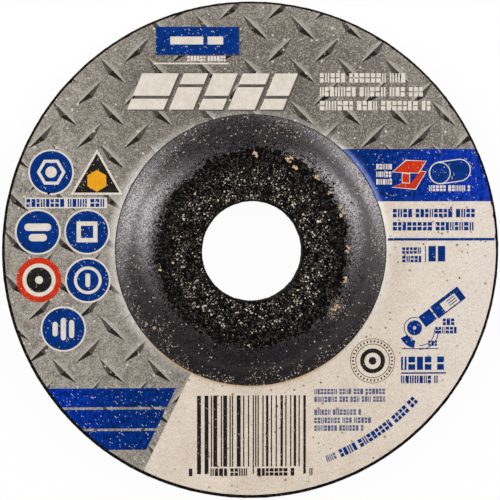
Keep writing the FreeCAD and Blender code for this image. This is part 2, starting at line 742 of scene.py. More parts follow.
def black_grit(shader, place, colours):
    """Colour and height of the rough surface between the grains: black, with brown patches, and painted
    shade, black, in the low spots of its bump.
    """
    mottle = shader.clouds(place, 1.7, 5.0, 0.65)
    fine = shader.clouds(place, 5.5, 3.0, 0.7)
    grit = shader.mix(shader.spread(mottle, 0.45, 0.85), colours.grit, colours.grit_brown)
    # Painted shade: the brown patches go black where the bump below is low
    grit = shader.mix(shader.spread(fine, 0.35, 0.6), PAINTED_PIT_SHADE, grit)
    return grit, mottle * 1.2 + fine * 1.3


def grit_material():
    """The rough surface of the hub's flat, the rim, the bore and the grinding face."""
    colours = settings("disc_grit_colours")
    shader = Shader("black_grit")
    place, *_ = shader.place()
    grit, height = black_grit(shader, place, colours)
    dust = shader.specks(place, 2.2, 0.22, 0.06)
    shader.set(Base_Color=shader.mix(dust * 0.6, grit, colours.grit_pale))
    shader.set(Roughness=0.85, Specular_IOR_Level=0.06)
    shader.bump(height, 0.7, 0.3 * MM)
    return shader.material


def resin_material():
    """The smooth slope of the hub: dark pocked resin with light dust, and black grit at its top."""
    colours = settings("disc_grit_colours")
    flat = settings("disc_wheel").hub_flat_radius / MM
    shader = Shader("slope_resin")
    place, x, y, z = shader.place()
    radius = shader.distance(x, y)
    leaning = (x * GRIT_SIDE.x + y * GRIT_SIDE.y) / radius
    lap = shader.most(leaning, 0.0) ** GRIT_LEAN_POWER * (GRIT_LEAN / MM) + GRIT_LAP / MM
    border = radius + shader.clouds(place, 1.6, 4.0, 0.7) * GRIT_RAGGED - lap
    smooth = shader.spread(border, flat + GRIT_FADE[0], flat + GRIT_FADE[1])
    grit, rough_height = black_grit(shader, place, colours)

    mottle = shader.clouds(place, 1.1, 5.0, 0.65)
    resin = shader.mix(shader.spread(mottle, 0.35, 0.7), colours.resin, colours.resin_cloud)
    near_label = shader.spread(radius, *DUSTY_RADII)
    drifts = shader.spread(shader.clouds(place, 0.35, 3.0, 0.6), 0.45, 0.65)
    dust = shader.specks(place, 2.1, 0.42, near_label * drifts * 0.34 + 0.06)
    veil = shader.spread(shader.clouds(place, 6.0, 3.0, 0.7), 0.5, 0.8) * near_label * 0.12
    resin = shader.mix(veil, resin, RESIN_VEIL)
    resin = shader.mix(dust * 0.95, resin, RESIN_DUST)
    shader.set(Base_Color=shader.mix(smooth, grit, resin))

    streaks = shader.clouds(shader.vector((x + y) * 0.7, (x - y) * 2.0, z), 0.7, 4.0, 0.6)
    pocks = shader.spread(shader.clouds(place, 3.0, 2.0, 0.7), 0.42, 0.52, 0.3, 0.0)
    trodden = radius + (mottle + shader.clouds(place, 0.28, 4.0, 0.6)) * TRAIL_WANDER
    trail = shader.between(trodden, *TRAIL_RADII, TRAIL_SOFT) * shader.spread(x, *TRAIL_X, 0.0, 0.2)
    holes = shader.specks(place, 1.5, 0.24, 0.26) * 0.4
    dull = shader.spread(streaks, 0.35, 0.65, 0.18, 0.3) + pocks + dust * 0.3 + trail + holes
    shader.set(Roughness=shader.mix(smooth, 0.4, dull, "FLOAT"))
    shader.set(Specular_IOR_Level=0.9, IOR=1.68, Specular_Tint=(1.0, 0.93, 0.96))
    soft = shader.clouds(place, 2.3, 3.0, 0.75) * 0.8 + streaks * 0.8
    shader.bump(shader.mix(smooth, rough_height, soft, "FLOAT"), 0.4, 0.2 * MM)
    return shader.material


def grain_material(name="grit_grains"):
    """Broken grains whose tone goes from black over brown to pale."""
    colours = settings("disc_grit_colours")
    shader = Shader(name)
    place, *_ = shader.place()
    tone = shader.attribute("tone")
    veins = shader.clouds(place, 4.0, 3.0)
    brown = shader.mix(shader.spread(tone, 0.25, 0.6), colours.grit, colours.grit_brown)
    pale = shader.mix(shader.spread(tone, 0.66, 0.86), brown, colours.grit_pale)
    shader.set(Base_Color=shader.mix(shader.spread(veins, 0.35, 0.75, 0.0, 0.4), pale, VEIN_BLACK))
    shader.set(Roughness=shader.spread(veins, 0.3, 0.7, 0.14, 0.3), Specular_IOR_Level=0.35)
    shader.bump(veins, 0.3, 0.04 * MM)
    return shader.material


def crumb_material():
    """Golden crumbs of bond that lie on the hub, with painted shade in the low spots of their bump and a
    painted highlight on its high spots.
    """
    shader = Shader("golden_crumbs")
    place, *_ = shader.place()
    grain = shader.clouds(place, 3.4, 4.0, 0.6)
    body = shader.mix(shader.spread(grain, 0.3, 0.5), CRUMB_SHADE, settings("disc_grit_colours").crumb)
    shader.set(Base_Color=shader.mix(shader.spread(grain, 0.5, 0.72), body, CRUMB_HIGHLIGHT))
    shader.set(Roughness=shader.spread(grain, 0.3, 0.7, 0.35, 0.6))
    shader.bump(grain, 0.5, 0.08 * MM)
    return shader.material


def net_material():
    """Glass strands under a thin black skin of resin, with bare patches."""
    colours = settings("disc_grit_colours")
    shader = Shader("glass_net")
    place, *_ = shader.place()
    bare = shader.spread(shader.clouds(place, 0.55, 5.0, 0.65), 0.42, 0.62) * 0.75
    fibres = shader.clouds(place, 7.0, 2.0)
    strand = shader.mix(shader.spread(fibres, 0.3, 0.7), colours.net, STRAND_LIGHT)
    shader.set(Base_Color=shader.mix(bare, colours.grit, strand))
    shader.set(Roughness=shader.spread(fibres, 0.3, 0.7, 0.35, 0.6))
    shader.bump(fibres, 0.5, 0.08 * MM)
    return shader.material


# The label's printed ground. Places are in millimetres from the label's centre

BAND_TOP = 23.36
BAND_BOTTOM = 11.25
CREAM_EDGE_X = -0.05
CREAM_EDGE_LEAN = 0.486
STRIPE_TOP = -31.84
STRIPE_PITCH = 4.95
STRIPE_HEIGHT = 4.4
STRIPE_COUNT = 3
STRIPE_END_GAP = 1.8
LUG_PITCH_X = 10.94
LUG_PITCH_Y = 9.88
LUG_COLUMN_LEAN = 0.005
LUG_HALF_LENGTH = 4.3
LUG_HALF_WIDTH = 1.32
LUG_WOBBLE = 0.22
FALLING_LUG = (-42.86, 31.58)
RISING_LUG = (-37.34, 26.38)
DARK_RIGHT = (-50.0, -18.0)
DARK_UPPER = (8.0, 28.0)
LIGHT_RIM = (50.0, 56.0)
SHADOW_X = (-29.0, 13.5)
SHADOW_Y = (31.5, 42.0)
SHADOW_SOFT = 2.4
BRIGHT_RIGHT = (24.0, 56.0)
WRINKLED_RIGHT = (30.0, 44.0)
BRIGHT_BLUE = (26.0, 50.0)

# Painted sheen and a brown stain at the label's inner edge, where the paper climbs the hub: how wide
# the sheen's rims and the stain are, and from where to where the sheen grows at the sides and the stain
# fades at the bottom

WIDE_SHEEN = 2.4
BAND_SHEEN = (0.3, 1.3)
SHEEN_SIDES = (12.0, 31.0)
STAIN_RIM = (0.1, 0.7)
STAINED_LOW = (-30.0, -16.0)

# Tones of the label that no setting gives

PLATE_LIGHT = srgb(202, 194, 182)
PLATE_DARK = srgb(86, 80, 73)
PLATE_SHADOW = srgb(70, 66, 62)
PLATE_PIT = srgb(66, 60, 55)
PLATE_DOT = srgb(222, 213, 200)
PAPER_DULL = srgb(222, 205, 187)
PAPER_BRIGHT = srgb(236, 226, 215)
FIBRE_DARK = srgb(176, 160, 140)
FIBRE_LIGHT = srgb(250, 243, 233)
BLUE_PIT = srgb(0, 14, 50)
BLUE_LIGHT = srgb(10, 80, 200)
# Painted highlight along the paper's wrinkles
WRINKLE_HIGHLIGHT = srgb(240, 236, 230)
# Painted sheen of the paper and of the blue band where the label climbs the hub
PAPER_SHEEN = srgb(246, 241, 234)
BLUE_SHEEN = srgb(104, 138, 236)
EDGE_STAIN = srgb(212, 172, 118)
GLUE_DARK = srgb(104, 76, 50)
GLUE_LIGHT = srgb(176, 150, 118)


def lug_tones(shader, x, y, first, rising, wobble):
    """Masks of the light, middle and dark facets of one set of lugs, which slant one way."""
    local_y = y - first[1]
    local_x = shader.wrapped(x - first[0] - local_y * LUG_COLUMN_LEAN, LUG_PITCH_X)
    local_y = shader.wrapped(local_y, LUG_PITCH_Y)
    diagonal = math.sqrt(0.5)
    along = (local_x + local_y if rising else local_x - local_y) * diagonal
    across = (local_y - local_x if rising else local_x + local_y) * diagonal + wobble
    reach = abs(along) * (1 / LUG_HALF_LENGTH) + abs(across) * (1 / LUG_HALF_WIDTH)
    lug = shader.spread(reach, 0.92, 1.06, 1.0, 0.0)
    light_side = shader.above(across, 0.0, 0.07)
    lower_half = shader.below(along, 0.0, 0.12) if rising else shader.above(along, 0.0, 0.12)
    dark_side = lug * (1.0 - light_side)
    light = lug * light_side * shader.spread(across, 0.0, LUG_HALF_WIDTH, 1.0, 0.25)
    return light, dark_side * (1.0 - lower_half), dark_side * lower_half


def tread_plate(shader, place, x, y, colours):
    """Grey steel with raised lugs, as printed: a grainy ground, slanted lugs and fine pale dots."""
    mottle = shader.clouds(place, 0.5, 5.0, 0.65)
    grain = shader.clouds(place, 2.6, 3.0, 0.8)
    ground = shader.mix(shader.spread(mottle, 0.3, 0.7, 0.25, 1.0), colours.steel_dark, colours.steel)
    dark = shader.spread(x, *DARK_RIGHT, 0.0, 0.92) * shader.spread(y, *DARK_UPPER, 0.3, 1.0)
    dark = dark * shader.spread(shader.distance(x, y), *LIGHT_RIM, 1.0, 0.5)
    ground = shader.mix(dark, ground, colours.steel_dark)
    ground = shader.mix(shader.spread(grain, 0.5, 0.62, 0.0, 0.6), ground, PLATE_LIGHT)
    ground = shader.mix(shader.spread(grain, 0.38, 0.5, 0.6, 0.0), ground, PLATE_DARK)
    shadow = shader.between(x, *SHADOW_X, SHADOW_SOFT) * shader.between(y, *SHADOW_Y, SHADOW_SOFT)
    ground = shader.mix(shadow * 0.28, ground, PLATE_SHADOW)
    wobble = (grain - 0.5) * LUG_WOBBLE
    for first, rising in ((FALLING_LUG, False), (RISING_LUG, True)):
        light, middle, dark = lug_tones(shader, x, y, first, rising, wobble)
        ground = shader.mix(light * 0.72, ground, colours.lug_light)
        ground = shader.mix(middle * 0.95, ground, colours.lug_middle)
        ground = shader.mix(dark * 0.97, ground, colours.lug_dark)
    pits = shader.specks(shader.vector(y, x, 3.0), 2.2, 0.26, 0.16)
    ground = shader.mix(pits * 0.7, ground, PLATE_PIT)
    dots = shader.most(shader.specks(place, 2.3, 0.28, 0.2), shader.specks(place, 0.8, 0.27, 0.26))
    return shader.mix(dots * 0.85, ground, PLATE_DOT)


def right_of_cream_edge(shader, x, y, gap=0.0):
    """1 to the right of the slanted line where the cream field begins, less a gap to its left."""
    return shader.above(x - (y * CREAM_EDGE_LEAN + (CREAM_EDGE_X - gap)), 0.0)


def ink_flecks(shader, place, x, y):
    """Where ink is chipped: fine and larger dots, and short scratches that run down to the right."""
    worn = shader.spread(shader.clouds(place, 0.22, 2.0), 0.34, 0.62, 0.35, 1.6)
    fine = shader.specks(place, 2.3, 0.3, worn * 0.22)
    larger = shader.specks(place, 1.1, 0.17, worn * 0.13)
    slanted = shader.vector((x + y) * 1.9, (x - y) * 0.34, 0.0)
    scratches = shader.specks(slanted, 1.1, 0.24, worn * 0.24)
    return shader.most(shader.most(fine, larger), scratches)


def paper_tones(shader, place, x, colours):
    """Cream paper: faint clouds, fine fibres and sparse brown and black specks."""
    clouds = shader.clouds(place, 0.16, 5.0, 0.6)
    fibres = shader.clouds(place, 2.6, 3.0, 0.8)
    paper = shader.mix(shader.spread(clouds, 0.3, 0.7), PAPER_DULL, colours.cream)
    paper = shader.mix(shader.spread(x, *BRIGHT_RIGHT, 0.0, 0.7), paper, PAPER_BRIGHT)
    paper = shader.mix(shader.spread(fibres, 0.38, 0.5, 0.34, 0.0), paper, FIBRE_DARK)
    paper = shader.mix(shader.spread(fibres, 0.52, 0.62, 0.0, 0.45), paper, FIBRE_LIGHT)
    paper = shader.mix(shader.specks(place, 0.9, 0.31, 0.2) * 0.7, paper, colours.rust)
    return shader.mix(shader.specks(place, 0.5, 0.17, 0.26) * 0.9, paper, colours.black)


def blue_tones(shader, place, x, y, colours):
    """Blue ink, brighter towards the rim, pitted all over and chipped in flecks."""
    deepness = shader.spread(abs(x), *BRIGHT_BLUE) * 0.75 + shader.clouds(place, 0.12, 3.0) * 0.3
    blue = shader.mix(deepness, colours.blue, colours.blue_bright)
    pitted = shader.clouds(shader.vector(x, y * 0.5, 0.0), 1.6, 3.0, 0.75)
    blue = shader.mix(shader.spread(pitted, 0.36, 0.54, 0.75, 0.0), blue, BLUE_PIT)
    blue = shader.mix(shader.spread(pitted, 0.52, 0.68, 0.0, 0.3), blue, BLUE_LIGHT)
    return shader.mix(ink_flecks(shader, place, x, y) * 0.85, blue, colours.pale)


def wrinkle_height(shader, x, y):
    """Fine upright wrinkles in the right of the label, as a height from 0 to 1."""
    waves = shader.clouds(shader.vector(x * 0.8, y * 0.1, 0.0), 1.0, 3.0, 0.6)
    return shader.spread(waves, 0.48, 0.72) * shader.spread(x, *WRINKLED_RIGHT)


def satin(shader, place):
    """Gives a printed surface its shine, and returns the fine grain that its bump needs."""
    grain = shader.clouds(place, 3.0, 4.0, 0.65)
    shader.set(Roughness=shader.spread(grain, 0.3, 0.7, 0.18, 0.26), Specular_IOR_Level=0.25)
    return grain


def label_material():
    """The printed face of the label: tread plate, blue band, cream field and three stripes."""
    colours = settings("disc_label_colours")
    shader = Shader("printed_paper")
    place, x, y, _ = shader.label_place()
    past_edge = right_of_cream_edge(shader, x, y)
    band = shader.between(y, BAND_BOTTOM, BAND_TOP) * past_edge
    stripes = 0.0
    for index in range(STRIPE_COUNT):
        top = STRIPE_TOP - index * STRIPE_PITCH
        stripes = shader.most(stripes, shader.between(y, top - STRIPE_HEIGHT, top))
    stripes = stripes * (1.0 - right_of_cream_edge(shader, x, y, STRIPE_END_GAP))
    ground = shader.mix(
        shader.below(y, BAND_BOTTOM) * past_edge,
        tread_plate(shader, place, x, y, colours),
        paper_tones(shader, place, x, colours),
    )
    ground = shader.mix(shader.most(band, stripes), ground, blue_tones(shader, place, x, y, colours))
    wrinkles = wrinkle_height(shader, x, y)
    # Painted highlight: the ground lightened along the wrinkles, strongly on the cream and faintly on the
    # blue band
    painted_wrinkle_highlight = wrinkles * shader.mix(band, 0.16, 0.02, "FLOAT")
    ground = shader.mix(painted_wrinkle_highlight, ground, WRINKLE_HIGHLIGHT)
    shader.set(Base_Color=inner_edge_sheen_and_stain(shader, place, x, y, ground, band))
    shader.bump(satin(shader, place) * 0.25 + wrinkles * 0.8, 0.25, 0.1 * MM)
    return shader.material


def inner_edge_sheen_and_stain(shader, place, x, y, ground, band):
    """Paints sheen on the print where the paper climbs the hub, and stains its edge brown at the bottom.
    """
    edge = settings("disc_label").inner_radius / MM
    radius = shader.distance(x, y)
    wide = shader.spread(radius, edge, edge + WIDE_SHEEN, 1.0, 0.0)
    narrow = shader.spread(radius, edge + BAND_SHEEN[0], edge + BAND_SHEEN[1], 1.0, 0.0)
    near = shader.mix(band, wide, narrow, "FLOAT")
    uneven = shader.spread(shader.clouds(place, 0.8, 4.0, 0.6), 0.3, 0.6, 0.6, 1.0)
    # Painted sheen: the print lightened where the paper's lap faces the lamps, most towards the sides
    painted_sheen = near * shader.spread(abs(x), *SHEEN_SIDES, 0.12, 0.6) * uneven
    ground = shader.mix(painted_sheen, ground, shader.mix(band, PAPER_SHEEN, BLUE_SHEEN))
    stain = shader.spread(radius, edge + STAIN_RIM[0], edge + STAIN_RIM[1], 1.0, 0.0)
    stain = stain * shader.spread(y, *STAINED_LOW, 0.9, 0.0)
    return shader.mix(stain * uneven, ground, EDGE_STAIN)


def paper_edge_material():
    """The cut edge and the glued side of the paper, stained brown by the resin."""
    shader = Shader("paper_edge")
    place, *_ = shader.place()
    stain = shader.clouds(place, 1.3, 4.0, 0.6)
    shader.set(Base_Color=shader.mix(shader.spread(stain, 0.3, 0.7), GLUE_DARK, GLUE_LIGHT))
    shader.set(Roughness=shader.spread(stain, 0.3, 0.7, 0.6, 0.85))
    return shader.material


def ink_material(name, colour, second, fleck, fleck_share):
    """A flat ink with faint clouds, worn through in flecks."""
    shader = Shader(name)
    place, x, y, _ = shader.label_place()
    body = shader.mix(shader.spread(shader.clouds(place, 0.7, 5.0, 0.65), 0.35, 0.65), colour, second)
    flecks = ink_flecks(shader, place, x, y) * fleck_share
    shader.set(Base_Color=shader.mix(flecks, body, fleck))
    shader.bump(satin(shader, place), 0.15, 0.06 * MM)
    return shader.material


# Printed shapes, laid on the label. Places and sizes are in millimetres, and angles in degrees

BLOCK_KINDS = ("whole", "level", "upright", "level")
BLOCK_WIDTHS = (0.38, 0.52)
BLOCK_GAP = 0.14
BLOCK_SLIT = 0.12
WORD_GAP = 0.3
FIRST_WORD_BLOCKS = (4, 8)
WORD_BLOCKS = (3, 8)
SMALL_CUT = 0.8 * MM
LAP_ZONE = 34.4 * MM


class Print:
    """Collects the shapes of one ink in one mesh and lays them on the label."""

    def __init__(self, layer):
        self.mesh = bmesh.new()
        self.layer = layer

    def polygon(self, corners):
        """A flat shape with the given corners, counter-clockwise."""
        self.mesh.faces.new([self.mesh.verts.new((x * MM, y * MM, 0)) for x, y in corners])

    def slanted(self, left, right, bottom, top, lean=0.0):
        """A bar whose ends lean to the right by a share of its height."""
        shift = (top - bottom) * lean
        self.polygon([(left, bottom), (right, bottom), (right + shift, top), (left + shift, top)])

    def disc(self, x, y, radius, points=64):
        centre = Matrix.Translation((x * MM, y * MM, 0))
        bmesh.ops.create_circle(
            self.mesh, cap_ends=True, segments=points, radius=radius * MM, matrix=centre
        )

    def ring(self, x, y, outer, inner, start=0, turn=360, points=64):
        """A ring, or the part of one from a start angle through a turn."""
        centre = Vector((x, y, 0)) * MM
        way = around(MM, math.radians(start))
        ends = [self.mesh.verts.new(centre + way * radius) for radius in (inner, outer)]
        bmesh.ops.spin(
            self.mesh,
            geom=[*ends, self.mesh.edges.new(ends)],
            cent=centre,
            axis=UP,
            angle=math.radians(turn),
            steps=max(2, round(points * turn / 360)),
            use_merge=turn == 360,
            use_duplicate=False,
        )

    def turned(self, x, y, corners, angle):
        """A flat shape with corners about its own middle, turned by an angle."""
        turn = Matrix.Rotation(math.radians(angle), 2)
        middle = Vector((x, y))
        self.polygon([middle + turn @ Vector(corner) for corner in corners])

    def bar(self, x, y, long, wide, angle):
        signs = ((1, -1), (1, 1), (-1, 1), (-1, -1))
        self.turned(x, y, [(long / 2 * right, wide / 2 * up) for right, up in signs], angle)

    def pill(self, x, y, long, wide, angle, steps=6):
        """A bar with round ends."""
        radius = wide / 2
        corners = []
        for side in (1, -1):
            for step in range(steps + 1):
                way = math.radians(180 * step / steps - 90 * side)
                along = side * (long / 2 - radius) + radius * math.cos(way)
                corners.append((along, radius * math.sin(way)))
        self.turned(x, y, corners, angle)

    def words(self, draw, left, right, bottom, high):
        """A line of plain blocks, as wide as letters, in groups as long as words."""
        place = left
        blocks_left = draw.randint(*FIRST_WORD_BLOCKS)
        while True:
            wide = high * draw.uniform(*BLOCK_WIDTHS)
            if place + wide > right:
                break
            self.block(draw.choice(BLOCK_KINDS), place, place + wide, bottom, bottom + high)
            place += wide + high * BLOCK_GAP
            blocks_left -= 1
            if blocks_left == 0:
                place += high * WORD_GAP
                blocks_left = draw.randint(*WORD_BLOCKS)

    def block(self, kind, left, right, bottom, top):
        """A plain block: whole, or parted by an upright or a level slit."""
        half_slit = (top - bottom) * BLOCK_SLIT / 2
        middle_x = (left + right) / 2
        middle_y = (bottom + top) / 2
        if kind == "upright":
            self.slanted(left, middle_x - half_slit, bottom, top)
            self.slanted(middle_x + half_slit, right, bottom, top)
        elif kind == "level":
            self.slanted(left, right, bottom, middle_y - half_slit)
            self.slanted(left, right, middle_y + half_slit, top)
        else:
            self.slanted(left, right, bottom, top)

    def words_on_arc(self, draw, radius, start, end, high):
        """The same blocks along a circle round the wheel's axis, between two angles."""
        first = len(self.mesh.verts)
        half = math.radians(end - start) / 2 * radius
        self.words(draw, -half, half, -high / 2, high)
        for point in list(self.mesh.verts)[first:]:
            azimuth = math.radians((start + end) / 2) + point.co.x / (radius * MM)
            point.co = around(radius * MM - point.co.y, azimuth)

    def near_hub(self):
        """The faces that reach the zone where the paper climbs the hub."""
        return [f for f in self.mesh.faces if min(v.co.xy.length for v in f.verts) < LAP_ZONE]

    def cut_finely(self):
        """Cuts the shapes near the hub into small faces, so that they can bend with the paper."""
        near = self.near_hub()
        if not near:
            return
        for axis in (Vector((1, 0, 0)), Vector((0, 1, 0))):
            reaches = [v.co.dot(axis) for f in near for v in f.verts]
            low = min(reaches)
            for step in range(1, math.ceil((max(reaches) - low) / SMALL_CUT)):
                near = self.near_hub()
                edges = {e for f in near for e in f.edges}
                points = {v for f in near for v in f.verts}
                bmesh.ops.bisect_plane(
                    self.mesh,
                    geom=[*near, *edges, *points],
                    plane_co=axis * (low + step * SMALL_CUT),
                    plane_no=axis,
                )

    def finished(self, name, material):
        """Gives the shapes the ink's thickness and lays them on the paper."""
        sizes = settings("disc_label")
        shift = Vector((sizes.shift_x, sizes.shift_y, 0))
        bmesh.ops.translate(self.mesh, verts=self.mesh.verts[:], vec=shift)
        self.cut_finely()
        bmesh.ops.recalc_face_normals(self.mesh, faces=self.mesh.faces[:])
        face_up(self.mesh)
        paper = sizes.thickness
        thickened(self.mesh, paper - sizes.ink, paper + sizes.ink * self.layer)
        return finished_piece(name, self.mesh, [material], smooth=False)


# Where the printed shapes are. A bar has its left, right, bottom and top, and a line of blocks has its
# left, right, bottom and height

DISC_RADIUS = 4.85
DISC_RIM = 0.4
BLUE_DISCS = ((-46.0, 18.05), (-49.1, 4.3), (-37.8, 4.3), (-37.65, -6.85), (-43.3, -18.1))
RED_DISC = (-48.85, -6.75)
RED_RADII = (5.15, 3.8)
RED_DARK_RADIUS = 2.9
RED_SPOT_RADIUS = 0.9
BLACK_SPOT = (-46.6, 13.15, 0.34)
TRIANGLE = ((-41.6, 12.85), (-29.5, 12.85), (-35.45, 23.35))
TRIANGLE_DARK = 0.86
HEXAGON_DROP = 0.3
HEXAGON_RADIUS = 2.5
HALO = (-52.0, -33.2, 9.75, 12.2)
HALO_RIM = 0.3
PANEL_SHADOW = (-21.6, -2.6, 44.85, 51.05)
BLUE_BARS = (
    (-21.9, -2.8, 45.0, 51.45), (31.75, 56.6, 2.15, 2.75), (40.4, 40.6, -2.9, 0.9),
    (41.2, 42.9, -2.7, 0.9), (43.4, 45.1, -2.7, 0.9), (35.0, 43.6, -23.05, -22.85),
    (34.9, 45.4, -28.8, -28.45),
)
BLUE_LINES = (
    (32.9, 52.4, 7.55, 1.95), (32.9, 52.4, 4.5, 1.95), (35.1, 39.6, -0.9, 1.5),
    (35.1, 39.6, -2.9, 1.5), (44.6, 48.1, -17.5, 1.55), (42.8, 48.1, -19.45, 1.55),
    (41.2, 43.9, -22.3, 1.2), (34.9, 45.6, -27.9, 3.1), (34.9, 44.2, -31.0, 1.75),
)
PALE_BARS = ((-18.6, -11.0, 47.4, 49.2), (-10.0, -6.4, 47.4, 49.2), (-22.5, -5.2, 42.85, 43.2))
PALE_LINES = (
    (-14.7, -5.1, 43.55, 1.2), (15.9, 35.8, 38.7, 2.15), (15.9, 39.8, 35.5, 2.15),
    (15.9, 42.4, 32.3, 2.15), (29.0, 32.8, 18.65, 1.25), (29.0, 32.8, 16.9, 1.25),
    (29.0, 32.8, 15.15, 1.25), (41.3, 51.2, 13.6, 1.35),
)
SMALL_LINES = (
    (14.7, 31.2, -33.5, 1.3), (14.7, 31.4, -35.3, 1.3), (14.7, 25.8, -38.3, 1.3),
    (14.7, 28.6, -40.2, 1.3), (14.7, 26.8, -42.0, 1.3),
)

# The lines along the rim have their radius, start, end and height

BLUE_ARC_LINE = (51.6, -66.4, -41.6, 1.9)
SMALL_ARC_LINE = (51.6, -70.2, -67.2, 1.5)

# The heading has its left, bottom and top. Its blocks have their start and end from the left, and the
# height of their slit as a share of theirs

HEADING = (-28.55, 32.45, 40.75)
HEADING_LEAN = 0.42
HEADING_BLOCKS = (
    (0.0, 8.4, 0.34), (9.6, 15.2, 0.66), (16.4, 22.0, 0.34), (23.2, 29.4, 0.66), (30.6, 35.9, 0.34),
)
HEADING_GAP = 0.7
HEADING_SHADOW = (0.4, -0.35)

# The bar field. Bars are longer when they are the first few or lie near the right end or the middle

BAR_FIELD = (-12.5, 12.9, -50.2, -33.65)
BAR_WIDTHS = (0.28, 0.28, 0.56, 0.9)
BAR_GAPS = (0.28, 0.56, 0.84)
LAST_BAR_ROOM = 0.4
LONG_BARS_LEFT = 2
LONG_BARS_RIGHT = 1.6
LONG_BARS_MIDDLE = 0.7
LONG_BAR_DROP = 1.7
BAR_LINES = (
    (-14.4, -13.0, -52.35, 1.75), (-9.4, -0.8, -52.35, 1.75), (1.4, 10.2, -52.35, 1.75),
    (13.6, 15.0, -52.35, 1.75),
)

# The plain signs in the blue discs, by the number of the disc. A ring has its outer and inner radius,
# start and points, and a bar has its place from the disc's centre, length, width and angle

SIGN_RINGS = ((0, 3.3, 2.5, 0, 6), (2, 3.4, 2.0, 45, 4), (3, 3.2, 2.5, 0, 64))
SIGN_BARS = (
    (1, 0.0, 1.1, 6.2, 1.7, 0), (1, 0.0, -1.3, 4.2, 1.7, 0), (3, 0.0, 0.0, 3.2, 1.1, 90),
    (4, -1.9, 0.0, 3.4, 1.2, 90), (4, 0.0, 0.0, 5.2, 1.2, 90), (4, 1.9, 0.0, 4.2, 1.2, 90),
)
SIGN_SPOT_RADIUS = 1.3

# The emblem. A ring has its outer and inner radius and its points

EMBLEM = (28.25, -25.75)
EMBLEM_RINGS = ((5.2, 5.08, 72), (4.0, 3.85, 72), (2.9, 1.9, 48))
EMBLEM_BLOCKS = 34
EMBLEM_BLOCK = (0.5, 0.32)
EMBLEM_BLOCK_RADIUS = 4.55
EMBLEM_SPOT_RADIUS = 0.9

# The tool. Its parts have their start and end along its body and their low and high side across it,
# and its rings have their place from its head, outer and inner radius, start and turn

TOOL = (38.0, -18.1)
TOOL_TURN = 37
TOOL_PARTS = (
    (2.2, 5.4, -1.5, 1.5), (5.75, 8.0, -1.7, 1.7), (8.0, 12.2, 0.9, 1.7), (8.0, 12.2, -1.7, -1.4),
    (12.2, 13.7, -1.7, 1.7), (9.6, 11.8, -0.9, -0.7), (9.6, 11.8, -0.3, -0.1), (9.6, 11.8, 0.3, 0.5),
)
TOOL_RINGS = (
    (0.0, 0.0, 1.75, 0.4, 0, 360), (0.0, 0.0, 2.5, 2.32, 70, 190), (1.4, -0.9, 4.2, 4.02, -95, 105),
    (1.4, -0.9, 3.3, 3.12, -95, 105), (0.6, -0.6, 4.2, 2.4, 205, 55),
)

# The beam and the pipe in the blue band, with thin pale outlines

BEAM = (
    ((32.8, 18.05), (38.8, 17.85), (40.5, 20.55), (36.0, 20.65)),
    ((35.1, 15.65), (36.7, 15.55), (36.7, 17.55), (35.1, 17.65)),
    ((32.8, 14.55), (38.1, 14.15), (40.5, 18.05), (39.3, 18.15), (37.0, 15.35), (35.0, 15.45)),
)
BEAM_OUTLINE = 0.18
PIPE = (46.15, 18.15)
PIPE_LONG = 9.8
PIPE_WIDE = 5.3
PIPE_TURN = 8
PIPE_OUTLINE = 0.25
PIPE_END_STEPS = 12
PIPE_MOUTH_SHIFT = (-2.4, -0.35)
PIPE_MOUTH_RADII = (2.55, 2.33)


def middle_of(corners):
    return sum((Vector(corner) for corner in corners), Vector((0, 0))) / len(corners)


def shrunk(corners, share):
    """The same corners drawn in towards their middle by a share."""
    middle = middle_of(corners)
    return [middle.lerp(corner, share) for corner in map(Vector, corners)]


def grown(corners, margin):
    """The same corners pushed out from their middle, so that the sides move by about a margin."""
    middle = middle_of(corners)
    push = margin * math.sqrt(2)
    return [corner + (corner - middle).normalized() * push for corner in map(Vector, corners)]


def pale_grounds():
    """Pale rims under the discs and the triangle, and the halo of a line of blue blocks."""
    pale = Print(layer=1)
    for place in BLUE_DISCS:
        pale.disc(*place, DISC_RADIUS + DISC_RIM)
    pale.polygon(TRIANGLE)
    pale.slanted(*HALO)
    return pale


def blue_shapes():
    """Blue discs, the blue panel, and the blue lines and blocks of the cream field."""
    blue = Print(layer=2)
    for place in BLUE_DISCS:
        blue.disc(*place, DISC_RADIUS)
    for sides in BLUE_BARS:
        blue.slanted(*sides)
    draw = random.Random(SEEDS["blue print"])
    left, right, bottom, top = HALO
    high = top - bottom - 2 * HALO_RIM
    blue.words(draw, left + HALO_RIM, right - HALO_RIM, bottom + HALO_RIM, high)
    for line in BLUE_LINES:
        blue.words(draw, *line)
    blue.words_on_arc(draw, *BLUE_ARC_LINE)
    tool(blue)
    return blue


def tool(blue):
    """A plain hand tool: a slanted body in parts, a round head and a guard round a disc."""
    head = Vector(TOOL)
    turn = Matrix.Rotation(math.radians(TOOL_TURN), 2)
    for start, end, low, high in TOOL_PARTS:
        middle = head + turn @ Vector((start + end, low + high)) / 2
        blue.bar(*middle, end - start, high - low, TOOL_TURN)
    for x, y, *ring in TOOL_RINGS:
        blue.ring(head.x + x, head.y + y, *ring)


